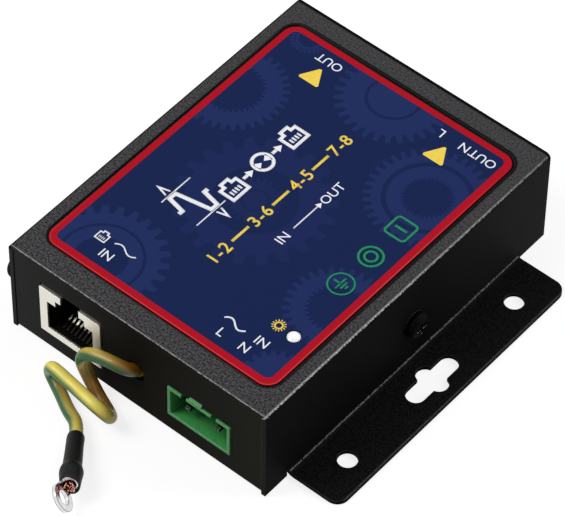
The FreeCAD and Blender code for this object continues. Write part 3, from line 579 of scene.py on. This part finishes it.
def labelFinish(look):
    material, tree, shader = newMaterial("labelPrint", rough=0.42, specular=0.04)
    mask = 0.0
    for values in look["gears"]:
        mask = addMath("MAXIMUM", mask, useGroup(tree, gearMark, **dict(zip(gearParts, values)))["Mask"])
    sand = useGroup(tree, grain, Fine=1500.0, Coarse=60.0, Contrast=1.0)
    drift = mapRange(sand["Cloud"], unit, look["drift"])
    toned = clampUnit(plus(times(mask, look["gearShare"]), drift))
    field = mixColours(toned, look["navy"], look["gearTint"])
    inset = useGroup(tree, roundInset, **look["field"])["Inset"]
    border = softStep(0.0, inset, look["borderSoft"])
    # painted shade on the film's side faces
    side = softStep(look["sideUnder"], faceNormal(tree)[2], look["sideSoft"])
    red = mixColours(side, look["red"], look["redDeep"])
    # the painted pink highlight along the film's edge
    pink = look["pinkHighlight"]
    fromEdge = gap(useGroup(tree, roundInset, **labelBorder)["Inset"], pink["inset"])
    thin = softStep(pink["half"], fromEdge, pink["soft"])
    x, y, _ = objectMillimetres(tree)
    near = softStep(minus(x, y), pink["from"], pink["fade"])
    red = mixColours(times(thin, near), red, pink["colour"])
    feed(shader, {"Base Color": mixColours(border, field, red)})
    addBump(shader, sand["Height"], strength=0.05, depth=0.02)
    return material


# the milky lens: a faint painted glow stands for the little light that it passes on inside itself

lensLook = {"rough": 0.25, "coat": 0.4, "glow": 0.1, "cloud": 500.0, "cool": rgb(246, 247, 250)}


def lensFinish(look):
    material, tree, shader = newMaterial("lensMilk", rough=look["rough"])
    cloud = addNoise(objectPoint(tree), look["cloud"])
    feed(shader, {"Base Color": mixColours(cloud, look["cool"], grey(255)), "Coat Weight": look["coat"],
                  "Emission Color": plainWhite, "Emission Strength": look["glow"]})
    return material


# spring contacts: painted shade makes them dark inside the jack, with a painted glint on each, brightest at
# the left

contactLook = {"dark": rgb(8, 7, 5), "light": rgb(252, 246, 226), "glintAt": 8.6, "glintHalf": 0.2,
               "glintSoft": 0.3, "streaks": (0.3, 0.7), "streakShare": (0.6, 1.0), "fade": (-18.2, -17.2),
               "fadeShare": (1.0, 0.12)}


def contactFinish(look):
    material, tree, shader = newMaterial("contactGold", rough=0.28, metallic=1.0)
    x, _, z = objectMillimetres(tree)
    glint = softStep(look["glintHalf"], gap(z, look["glintAt"]), look["glintSoft"])
    streak = addNoise(objectPoint(tree), 1800.0)
    streaked = mapRange(streak, look["streaks"], look["streakShare"])
    faded = mapRange(x, look["fade"], look["fadeShare"])
    bright = times(glint, streaked, faded)
    feed(shader, {"Base Color": mixColours(bright, look["dark"], look["light"])})
    addBump(shader, streak, strength=0.1, depth=0.02)
    return material


def inkFinish(name, dark, light):
    material, tree, shader = newMaterial(name, rough=0.45, specular=0.1)
    sand = useGroup(tree, grain, Fine=1800.0, Coarse=400.0, Contrast=1.6)
    feed(shader, {"Base Color": mixColours(sand["Speckle"], dark, light)})
    addBump(shader, sand["Height"], strength=0.08, depth=0.01)
    return material


finishes["sandyCoat"] = coverFinish(coverLook)
finishes["labelPrint"] = labelFinish(labelLook)
finishes["lensMilk"] = lensFinish(lensLook)
finishes["contactGold"] = contactFinish(contactLook)

nodeFinish = {
    "top_cover": "sandyCoat", "base_tray": "sandyCoat", "face_label": "labelPrint",
    "cover_screws": "screwBlack", "circuit_board": "boardMask", "board_standoffs": "zincPlate",
    "board_screws": "zincPlate", "status_led": "lensMilk", "led_spacer": "spacerPlastic",
    "gas_tubes": "ceramicBody", "suppressor_arrays": "chipBody", "line_magnetics": "chokeBlock",
    "line_varistors": "discLacquer", "power_gas_tube": "ceramicBody", "thermal_fuses": "ceramicBody",
    "ground_post": "brassPost", "ring_terminal": "lugTin", "ground_wire_tail": "tailJacket",
}
portFinish = {"jack_shield": "jackMetal", "jack_insert": "jackPlastic", "jack_contacts": "contactGold",
              "header_body": "greenPlastic", "header_pins": "pinTin"}
for end in ("input_", "output_"):
    nodeFinish.update({end + nodeName: finish for nodeName, finish in portFinish.items()})
for nodeName, finish in nodeFinish.items():
    for materialSlot in cadNodes[nodeName].material_slots:
        materialSlot.material = finishes[finish]
print("finishes on", len(nodeFinish), "nodes")

# small helpers for modelling


def startEditing():
    bpy.ops.object.mode_set(mode="EDIT")
    bpy.ops.mesh.select_all(action="SELECT")


def stopEditing():
    bpy.ops.object.mode_set(mode="OBJECT")


def closeNormals():
    startEditing()
    bpy.ops.mesh.remove_doubles(threshold=0.001 * mm)
    bpy.ops.mesh.normals_make_consistent(inside=False)
    stopEditing()


def pickOnly(*pieces):
    bpy.ops.object.select_all(action="DESELECT")
    for piece in pieces:
        piece.select_set(True)
    bpy.context.view_layer.objects.active = pieces[0]


def applyPlace():
    bpy.ops.object.transform_apply(location=True, rotation=True, scale=True)


def newDisc(sides, radius, height):
    bpy.ops.object.select_all(action="DESELECT")
    bpy.ops.mesh.primitive_circle_add(vertices=sides, radius=radius, fill_type="NGON",
                                      location=(0, 0, height))
    applyPlace()
    return bpy.context.object


def pullUp(height):
    bpy.ops.mesh.extrude_region_move(TRANSFORM_OT_translate={"value": (0, 0, height)})


def asMesh(piece):
    pickOnly(piece)
    bpy.ops.object.convert(target="MESH")
    return bpy.context.object


def thicken(piece, thickness, even=False):
    # the picked mesh grows to this thickness in mm, half to each side
    bpy.ops.object.modifier_add(type="SOLIDIFY")
    modifier = piece.modifiers[0]
    modifier.thickness = thickness * mm
    modifier.offset = 0
    modifier.use_even_offset = even
    bpy.ops.object.modifier_apply(modifier=modifier.name)


def addPiece(name, data):
    piece = bpy.data.objects.new(name, data)
    bpy.context.scene.collection.objects.link(piece)
    return piece


def newCurve(name, lines, closed=False, smooth=True):
    # one spline for each line of points, given in metres
    curve = bpy.data.curves.new(name, "CURVE")
    curve.dimensions = "3D"
    for points in lines:
        spline = curve.splines.new("NURBS" if smooth else "POLY")
        spline.points.add(len(points) - 1)
        for control, point in zip(spline.points, points):
            control.co = (*point, 1)
        if smooth:
            spline.order_u = 3
            spline.use_endpoint_u = not closed
        spline.use_cyclic_u = closed
    return addPiece(name, curve)


# the earth wire

wireFacts = {
    "radius": 1.4 * mm, "length": 71.3 * mm, "sides": 28, "specular": 0.45, "rough": (0.28, 0.42),
    "start": (-0.38, -43.05, 11.37),
    "route": [(-0.56, -44.90, 12.80), (-2.57, -46.05, 13.81), (-5.34, -46.45, 13.76), (-8.07, -46.85, 13.33),
              (-9.99, -47.25, 12.45), (-10.96, -47.30, 10.58), (-11.49, -46.75, 7.74), (-10.02, -46.30, 3.63),
              (-6.59, -47.40, 1.66), (-2.67, -48.92, 1.62), (-0.51, -50.75, 3.32), (-1.00, -52.25, 6.18),
              (-4.07, -52.45, 7.25), (-9.95, -51.35, 6.59), (-13.22, -51.20, 7.26), (-15.76, -51.00, 7.31),
              (-17.62, -49.70, 3.15), (-14.91, -50.59, 1.60), (-12.45, -51.89, 1.60), (-8.90, -53.84, 1.60),
              (-5.51, -55.02, 1.62), (-3.35, -57.84, 2.21)],
    "sleeveAt": (-4.31, -56.59, 1.95),
    # the side where the stripe starts, and its half width, soft edge and waver as shares of the way round
    "stripeWay": (-0.20, -0.87, -0.45), "stripeHalf": 0.165, "stripeSoft": 0.11, "waver": 0.06,
    # how far the stripe has turned round the wire, in degrees, at lengths along it in mm
    "twist": [(0, 22), (13, 18), (20, 95), (24, 95), (31, -14), (38, -12), (45, 4), (50, 4), (56, -35),
              (74, -35)],
    # painted shade along the jacket's length, and the green's share of it
    "shadeAlong": [(0.0, 1.0), (0.05, 0.92), (0.13, 0.52), (0.2, 0.34), (0.27, 0.82), (0.34, 0.96), (0.42, 0.84),
                (0.48, 0.32), (0.54, 0.06), (0.62, 0.0), (0.75, 0.0), (0.80, 0.84), (0.87, 0.62),
                (0.94, 0.46), (1.0, 0.2)],
    "greenShare": 0.6, "yellowInShade": rgb(126, 74, 6), "greenInShade": rgb(26, 54, 24),
    "yellow": rgb(255, 246, 130), "yellowDeep": rgb(255, 226, 84), "green": rgb(44, 124, 62),
    "greenDeep": rgb(26, 92, 48),
}


def routeLine(points):
    holder = newCurve("wireLine", [[[c * mm for c in point] for point in points]])
    bpy.context.view_layer.update()
    line = bpy.data.meshes.new_from_object(holder)
    path = [v.co.copy() for v in line.vertices]
    bpy.data.objects.remove(holder)
    bpy.data.meshes.remove(line)
    return path


def twistAt(run, stations):
    for (fromRun, fromTurn), (toRun, toTurn) in zip(stations, stations[1:]):
        if run <= toRun:
            part = (run - fromRun) / (toRun - fromRun)
            return radians(fromTurn + (toTurn - fromTurn) * part * part * (3 - 2 * part))
    return radians(stations[-1][1])


def makeWire(facts):
    path = routeLine([facts["start"]] + facts["route"])
    sides, radius = facts["sides"], facts["radius"]
    stripe = Vector(facts["stripeWay"])
    vertices, marks, run = [], [], 0.0
    for i, point in enumerate(path):
        ahead = path[min(i + 1, len(path) - 1)] - path[max(i - 1, 0)]
        ahead.normalize()
        down = (stripe - ahead * stripe.dot(ahead)).normalized()
        across = ahead.cross(down)
        run += (point - path[max(i - 1, 0)]).length
        marks.append(run)
        for k in range(sides):
            a = 2 * pi * (k / sides - 0.5) + twistAt(run / mm, facts["twist"])
            vertices.append(point + (down * cos(a) + across * sin(a)) * radius)
    faces = []
    for i in range(len(path) - 1):
        for k in range(sides):
            n = (k + 1) % sides
            faces.append((i * sides + k, i * sides + n, (i + 1) * sides + n, (i + 1) * sides + k))
    last = (len(path) - 1) * sides
    faces.append(tuple(reversed(range(sides))))
    faces.append(tuple(last + k for k in range(sides)))
    mesh = bpy.data.meshes.new("groundWire")
    mesh.from_pydata(vertices, [], faces)
    layer = mesh.uv_layers.new(name="UVMap")
    for face in mesh.polygons:
        wrap = face.loop_total == 4 and {loop % sides for loop in face.vertices} == {0, sides - 1}
        for loop in face.loop_indices:
            ring, k = divmod(mesh.loops[loop].vertex_index, sides)
            u = 1.0 if wrap and k == 0 else k / sides
            layer.data[loop].uv = (u, marks[ring] / (2 * pi * radius))
    piece = addPiece("groundWire", mesh)
    mesh.shade_smooth()
    print("wire line", round(run * 1000, 2), "mm,", len(path), "points")
    return piece, path


def wireFinish(facts):
    material, tree, shader = newMaterial("wireJacket", specular=facts["specular"])
    roundIt, alongIt, _ = splitVector(tree.nodes.new("ShaderNodeTexCoord").outputs["UV"])
    waver = minus(addNoise(objectPoint(tree), 300.0), 0.5)
    fromStripe = plus(minus(roundIt, 0.5), times(waver, facts["waver"]))
    mask = softStep(facts["stripeHalf"], addMath("ABSOLUTE", fromStripe), facts["stripeSoft"])
    sand = useGroup(tree, grain, Fine=1500.0, Coarse=220.0, Contrast=1.3)
    along = times(alongIt, 2 * pi * facts["radius"] / facts["length"])
    # painted shade along the wire's length
    shadeAmount = colourStops(along, [(place, (*[amount] * 3, 1)) for place, amount in facts["shadeAlong"]])
    yellow = mixColours(sand["Cloud"], facts["yellow"], facts["yellowDeep"])
    yellow = mixColours(shadeAmount, yellow, facts["yellowInShade"])
    green = mixColours(sand["Cloud"], facts["green"], facts["greenDeep"])
    green = mixColours(times(shadeAmount, facts["greenShare"]), green, facts["greenInShade"])
    feed(shader, {"Base Color": mixColours(mask, yellow, green),
                  "Roughness": mapRange(sand["Speckle"], unit, facts["rough"])})
    addBump(shader, sand["Height"], strength=0.15, depth=0.03)
    return material


groundWire, wirePath = makeWire(wireFacts)
groundWire.data.materials.append(wireFinish(wireFacts))
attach(groundWire, "root")
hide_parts("ground_wire")

# the shrunk sleeve and the copper at the wire's end, modelled along +Z and then set on the wire's last run


def onWireEnd(piece, turn=0.0):
    start, inside = Vector(wireFacts["sleeveAt"]), Vector(wireFacts["route"][-1])
    way = Vector((0, 0, 1)).rotation_difference((inside - start).normalized())
    spin = Matrix.Rotation(radians(turn), 4, "Z")
    piece.matrix_world = Matrix.Translation(start * mm) @ way.to_matrix().to_4x4() @ spin
    pickOnly(piece)
    applyPlace()


sleeveFacts = {
    "sides": 48,
    # height along the sleeve and radius, from inside the wire's end over the outside and back into the mouth
    "profile": [(2.3, 1.38), (1.55, 1.41), (1.45, 1.55), (1.55, 1.72), (2.1, 1.80), (3.0, 1.79), (4.6, 1.79),
                (6.4, 1.83), (8.0, 1.88), (9.2, 1.92), (9.9, 1.96), (10.4, 2.08), (10.9, 2.27), (11.4, 2.39),
                (11.9, 2.41), (12.5, 2.37), (13.2, 2.28), (13.9, 2.20), (14.6, 2.13), (15.1, 2.06),
                (15.35, 1.93), (15.3, 1.72), (15.05, 1.60), (13.4, 1.78)],
    # creases by height, width and depth, and ripples by size, waves round and pitch
    "creases": [(7.6, 0.35, 0.07), (8.8, 0.3, 0.09), (10.0, 0.35, 0.08), (13.2, 0.5, 0.05)],
    "creaseSwing": 0.25, "ripples": [(0.02, 3, 0.7), (0.012, 7, -1.3)],
    "seed": 5, "smoothUnder": 1.45, "lipFrom": 14.6, "leanFrom": 12.4, "lean": 0.11,
}


def makeSleeve(facts):
    height, radius = facts["profile"][0]
    piece = newDisc(facts["sides"], radius * mm, height * mm)
    piece.name = "crimpSleeve"
    startEditing()
    for nextHeight, nextRadius in facts["profile"][1:]:
        pullUp((nextHeight - height) * mm)
        grow = nextRadius / radius
        bpy.ops.transform.resize(value=(grow, grow, 1), center_override=(0, 0, nextHeight * mm))
        height, radius = nextHeight, nextRadius
    stopEditing()
    # the mouth is cut aslant, the film is a little uneven, and creases go part of the way round
    draw = random.Random(facts["seed"])
    phases = [draw.uniform(0, 2 * pi) for _ in facts["creases"]]
    for vertex in piece.data.vertices:
        x, y, z = vertex.co / mm
        r = (x * x + y * y) ** 0.5
        if z > facts["leanFrom"]:
            vertex.co.z += facts["lean"] * (z - facts["leanFrom"]) * x * mm
        if r < facts["smoothUnder"] or z > facts["lipFrom"]:
            continue
        a = Vector((x, y)).angle_signed(Vector((1, 0)))
        push = sum(size * sin(waves * a + pitch * z) for size, waves, pitch in facts["ripples"])
        for (level, width, depth), phase in zip(facts["creases"], phases):
            near = (z - level - facts["creaseSwing"] * sin(2 * a + phase)) / width
            push -= depth * (0.5 + 0.5 * cos(a - phase)) * exp(-near * near)
        vertex.co.x *= (r + push) / r
        vertex.co.y *= (r + push) / r
    closeNormals()
    piece.data.shade_smooth()
    bpy.ops.object.modifier_add(type="SUBSURF")
    piece.modifiers[0].levels = piece.modifiers[0].render_levels = 1
    bpy.ops.object.modifier_apply(modifier=piece.modifiers[0].name)
    return piece


crimpSleeve = makeSleeve(sleeveFacts)
onWireEnd(crimpSleeve)
crimpSleeve.data.materials.append(coatFinish(
    "shrinkFilm", dark=grey(10), light=grey(26), edge=grey(44), rough=0.50, specular=0.16, fine=1300.0,
    bump=0.35, contrast=1.2, coarse=500.0))
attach(crimpSleeve, "root")
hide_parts("wire_sleeve")

# rings of hairs by count and radius. A hair is straight up to the mouth and then bends away: its loose
# stations have shares of its reach, its spread and its swing
hairFacts = {"rings": [(1, 0.0), (6, 0.42), (11, 0.84)], "ringTurn": 0.3, "radius": 0.15, "from": 11.8,
             "mouth": 15.2, "straightTo": 14.7, "loose": [(0.35, 0.15, 0.3), (1.0, 0.5, 1.0)],
             "spread": 0.45, "leastSpread": 0.3, "reach": 1.5, "leastReach": 0.25, "swing": 0.5,
             "flatSide": -0.80, "seed": 11, "turn": 70.0}


def makeHairs(facts):
    draw = random.Random(facts["seed"])
    lines = []
    for ringIndex, (count, radius) in enumerate(facts["rings"]):
        for i in range(count):
            a = 2 * pi * i / count + facts["ringTurn"] * ringIndex
            out = facts["spread"] * draw.uniform(facts["leastSpread"], 1.0)
            reach = facts["reach"] * draw.uniform(facts["leastReach"], 1.0)
            swing = draw.uniform(-facts["swing"], facts["swing"])
            stations = [(facts["from"], radius, a), (facts["straightTo"], radius, a)]
            for reached, moved, swung in facts["loose"]:
                stations.append((facts["mouth"] + reached * reach, radius + moved * out, a + swung * swing))
            lines.append([(max(r * cos(b), facts["flatSide"]) * mm, r * sin(b) * mm, z * mm)
                          for z, r, b in stations])
    holder = newCurve("copperHairs", lines)
    holder.data.bevel_depth = facts["radius"] * mm
    holder.data.bevel_resolution = 2
    holder.data.resolution_u = 6
    holder.data.use_fill_caps = True
    hairs = asMesh(holder)
    closeNormals()
    return hairs


copperHairs = makeHairs(hairFacts)
onWireEnd(copperHairs, hairFacts["turn"])
copperHairs.data.materials.clear()
copperHairs.data.materials.append(finishes["copperHair"])
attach(copperHairs, "root")
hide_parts("wire_strands")

print("wire, sleeve and copper")

# the print on the label: plain words, numbers and signs, each a thin film of ink on the face, in mm

inkFacts = {"thick": 0.04, "sunk": 0.01, "wordSteps": 4}
fine, bold = 0.30, 0.75  # the strokes' two widths
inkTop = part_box("face_label")[1][2] + (inkFacts["thick"] - inkFacts["sunk"]) * mm
inkMiddle = inkTop - inkFacts["thick"] * mm / 2


def inkWord(text, centre, turn, cap, weight, spread):
    # the word's capitals are cap mm high, and its middle is at centre
    bpy.ops.object.text_add()
    word = bpy.context.object
    word.data.body = text
    word.data.offset = weight
    word.data.space_character = spread
    word.data.resolution_u = inkFacts["wordSteps"]
    word = asMesh(word)
    spots = [v.co.copy() for v in word.data.vertices]
    low, high = [Vector([pick(c[i] for c in spots) for i in range(3)]) for pick in (min, max)]
    scale = cap * mm / (high.y - low.y)
    for vertex in word.data.vertices:
        vertex.co = (vertex.co - (low + high) / 2) * scale
    thicken(word, inkFacts["thick"])
    word.location = (centre[0] * mm, centre[1] * mm, inkMiddle)
    word.rotation_euler = (0, 0, radians(turn))
    applyPlace()
    return [word]


def turned(points, centre, turn):
    c, s = cos(radians(turn)), sin(radians(turn))
    return [(centre[0] + x * c - y * s, centre[1] + x * s + y * c) for x, y in points]


def inkLine(points, width, centre, turn=0, closed=False):
    # a ribbon on edge along the points, thickened to the stroke's width
    flat = [(x * mm, y * mm, inkMiddle) for x, y in turned(points, centre, turn)]
    stroke = newCurve("inkStroke", [flat], closed, smooth=False)
    stroke.data.extrude = inkFacts["thick"] * mm / 2
    stroke = asMesh(stroke)
    closeNormals()
    thicken(stroke, width, even=True)
    closeNormals()
    return [stroke]


def inkFill(points, centre, turn=0):
    # a filled outline: one face, pulled up to the ink's thickness
    thick = inkFacts["thick"] * mm
    piece = newDisc(len(points), mm, inkTop - thick)
    for vertex, (x, y) in zip(piece.data.vertices, turned(points, centre, turn)):
        vertex.co.x, vertex.co.y = x * mm, y * mm
    startEditing()
    pullUp(thick)
    stopEditing()
    closeNormals()
    return [piece]


def arc(radius, count=28, fromTurn=0, toTurn=360, centre=(0, 0)):
    # a full turn doesn't repeat its first point
    steps = count if toTurn - fromTurn == 360 else count - 1
    turns = [radians(fromTurn + (toTurn - fromTurn) * i / steps) for i in range(count)]
    return [(centre[0] + radius * cos(a), centre[1] + radius * sin(a)) for a in turns]


def rounded(half, radius, count=5):
    # the outline of a square with round corners
    points = []
    for sx, sy, fromTurn in ((1, 1, 0), (-1, 1, 90), (-1, -1, 180), (1, -1, 270)):
        corner = (sx * (half - radius), sy * (half - radius))
        points += arc(radius, count, fromTurn, fromTurn + 90, corner)
    return points


def jackSign(centre, size, turn, width):
    # the outline of a modular plug, with its latch, and four of its contacts
    h, n = size / 2, size / 4.4
    outline = [(-h, -h), (h, -h), (h, h - n), (n, h - n), (n, h), (-n, h), (-n, h - n), (-h, h - n)]
    signs = inkLine(outline, width, centre, turn, closed=True)
    pitch, low, high, thin = size * 0.17, -h * 0.62, -h * 0.10, width * 0.6
    for i in range(4):
        x = pitch * (i - 1.5)
        signs += inkLine([(x, low), (x, high)], thin, centre, turn)
    return signs


def arrowSign(centre, length, turn, width, head):
    tip, side = length / 2, head * 0.62
    shaft = inkLine([(-tip, 0), (tip - head, 0)], width, centre, turn)
    return shaft + inkFill([(tip - head, -side), (tip, 0), (tip - head, side)], centre, turn)


def tubeSign(centre, radius, turn, width):
    # a gas discharge tube: a ring with two points facing each other
    root, tip, side = radius * 0.86, radius * 0.16, radius * 0.5
    signs = inkLine(arc(radius), width, centre, turn, closed=True)
    for way in (1, -1):
        corners = [(way * root, -side), (way * root, side), (way * tip, 0)][::way]
        signs += inkFill(corners, centre, turn)
    return signs


surgeFacts = {"limit": 4.6, "peak": 7.7, "run": 4.3, "bold": 0.95, "thin": 0.42}


def surgeSign(centre, turn):
    # a surge, thin above and below two limits, and the bold line that is left of it between them
    limit, run = surgeFacts["limit"], surgeFacts["run"]
    kept, foot = limit - 0.5, limit + 0.6
    half = [(0.75, -kept), (2.5, -kept), (3.3, 0), (run, 0)]
    wave = [(-x, -y) for x, y in reversed(half)] + half
    signs = inkLine(wave, surgeFacts["bold"], centre, turn)
    for way in (1, -1):
        level = [(-run * way, limit * way), (run * way, limit * way)]
        peak = [(x * way, y * way) for x, y in ((-2.35, foot), (-1.65, surgeFacts["peak"]), (-0.95, foot))]
        signs += inkLine(level, fine, centre, turn) + inkLine(peak, surgeFacts["thin"], centre, turn)
    return signs


def sunSign(centre, radius, rays):
    signs = inkLine(arc(radius * 0.52, 20), 0.34, centre, closed=True)
    for i in range(rays):
        signs += inkLine([(radius * 0.68, 0), (radius, 0)], 0.24, centre, 360 * i / rays)
    return signs


def waveSign(centre, length, height, width, steps=16):
    points = [(length * (i / steps - 0.5), height / 2 * sin(2 * pi * i / steps)) for i in range(steps + 1)]
    return inkLine(points, width, centre)


def triangleSign(centre, half, height):
    # a solid pointer with its corners cut off
    corners = [(-half, -height / 2), (half, -height / 2), (0, height / 2)]
    cut = 0.09
    points = []
    for i, corner in enumerate(corners):
        for other in (corners[i - 1], corners[(i + 1) % 3]):
            points.append(tuple(c + cut * (o - c) for c, o in zip(corner, other)))
    return inkFill(points, centre)


def earthSign(centre, radius, turn):
    ring, stroke = 0.36, 0.4
    signs = inkLine(arc(radius), ring, centre, turn, closed=True)
    signs += inkLine([(0, 0.66 * radius), (0, 0.05 * radius)], stroke, centre, turn)
    for level, half in ((0.05, 0.60), (-0.25, 0.38), (-0.52, 0.16)):
        bar = [(-half * radius, level * radius), (half * radius, level * radius)]
        signs += inkLine(bar, stroke, centre, turn)
    return signs


def makeInk(name, facts):
    pieces = []
    for sign, *values in facts["signs"]:
        pieces += sign(*values)
    for text, centre, turn in facts["words"]:
        pieces += inkWord(text, centre, turn, *facts["lettering"])
    pickOnly(*pieces)
    bpy.ops.object.join()
    piece = bpy.context.object
    piece.name = name
    applyPlace()
    piece.data.materials.clear()
    piece.data.materials.append(inkFinish(name, facts["dark"], facts["light"]))
    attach(piece, "root")


# a sign is its function and what that function takes, a word is its text, its middle and its turn, and the
# lettering is the capitals' height, their extra weight and their spacing

whiteFacts = {
    "dark": rgb(240, 243, 250), "light": rgb(252, 253, 255), "lettering": (2.1, 0.0, 1.0),
    "signs": [(surgeSign, (-12.9, -11.9), 90), (jackSign, (-9.3, -4.2), 4.6, 90, bold),
              (arrowSign, (-9.3, 0.5), 3.0, 90, bold, 1.6), (tubeSign, (-9.3, 4.9), 2.2, 90, bold),
              (arrowSign, (-9.3, 9.3), 3.0, 90, bold, 1.6), (jackSign, (-9.3, 14.0), 4.6, 90, bold),
              (arrowSign, (6.5, 0.0), 8.6, 90, fine, 1.2), (jackSign, (-20.4, -30.1), 2.4, 0, fine),
              (waveSign, (-14.6, -30.1), 5.6, 1.2, fine), (waveSign, (13.6, -30.1), 5.4, 1.5, 0.38)],
    "words": [("IN", (6.5, -7.6), 90), ("OUT", (6.5, 7.6), 90), ("IN", (-16.7, -33.3), 0),
              ("IN", (20.4, -30.1), 0), ("L", (12.9, -33.3), 0), ("N", (18.7, -33.3), 0),
              ("OUT", (-16.5, 34.1), 180), ("L", (12.7, 34.0), 180), ("N", (18.7, 34.0), 180),
              ("OUT", (23.3, 34.0), 180)],
}
makeInk("whiteInk", whiteFacts)

yellowRow, dash = -0.45, [(0, -2.5), (0, 2.5)]  # a dash stands between each two numbers of the row
yellowFacts = {
    "dark": rgb(242, 204, 70), "light": rgb(255, 228, 104), "lettering": (2.9, 0.014, 1.12),
    "signs": [(inkLine, dash, 0.62, (yellowRow, place)) for place in (-12.2, 0.0, 12.2)]
             + [(sunSign, (20.2, -24.85), 1.5, 14)]
             + [(triangleSign, (place, 29.6), 2.75, 4.8) for place in (-16.5, 15.8)],
    "words": [("1-2", (yellowRow, -18.3), 90), ("3-6", (yellowRow, -6.1), 90), ("4-5", (yellowRow, 6.1), 90),
              ("7-8", (yellowRow, 18.3), 90)],
}
makeInk("yellowInk", yellowFacts)

# three plain signs: earth, two rings, and a square with a bar
greenFacts = {
    "dark": rgb(24, 128, 78), "light": rgb(40, 158, 100), "words": [],
    "signs": [(earthSign, (22.6, -9.1), 2.7, 90), (inkLine, arc(2.5), 0.5, (22.6, 0.0), 0, True),
              (inkLine, arc(1.3), 0.5, (22.6, 0.0), 0, True),
              (inkLine, rounded(2.5, 0.8), 0.5, (22.6, 9.3), 0, True),
              (inkLine, [(-1.5, 0), (1.5, 0)], 0.6, (22.6, 9.3))],
}
makeInk("greenInk", greenFacts)
print("print on the label")
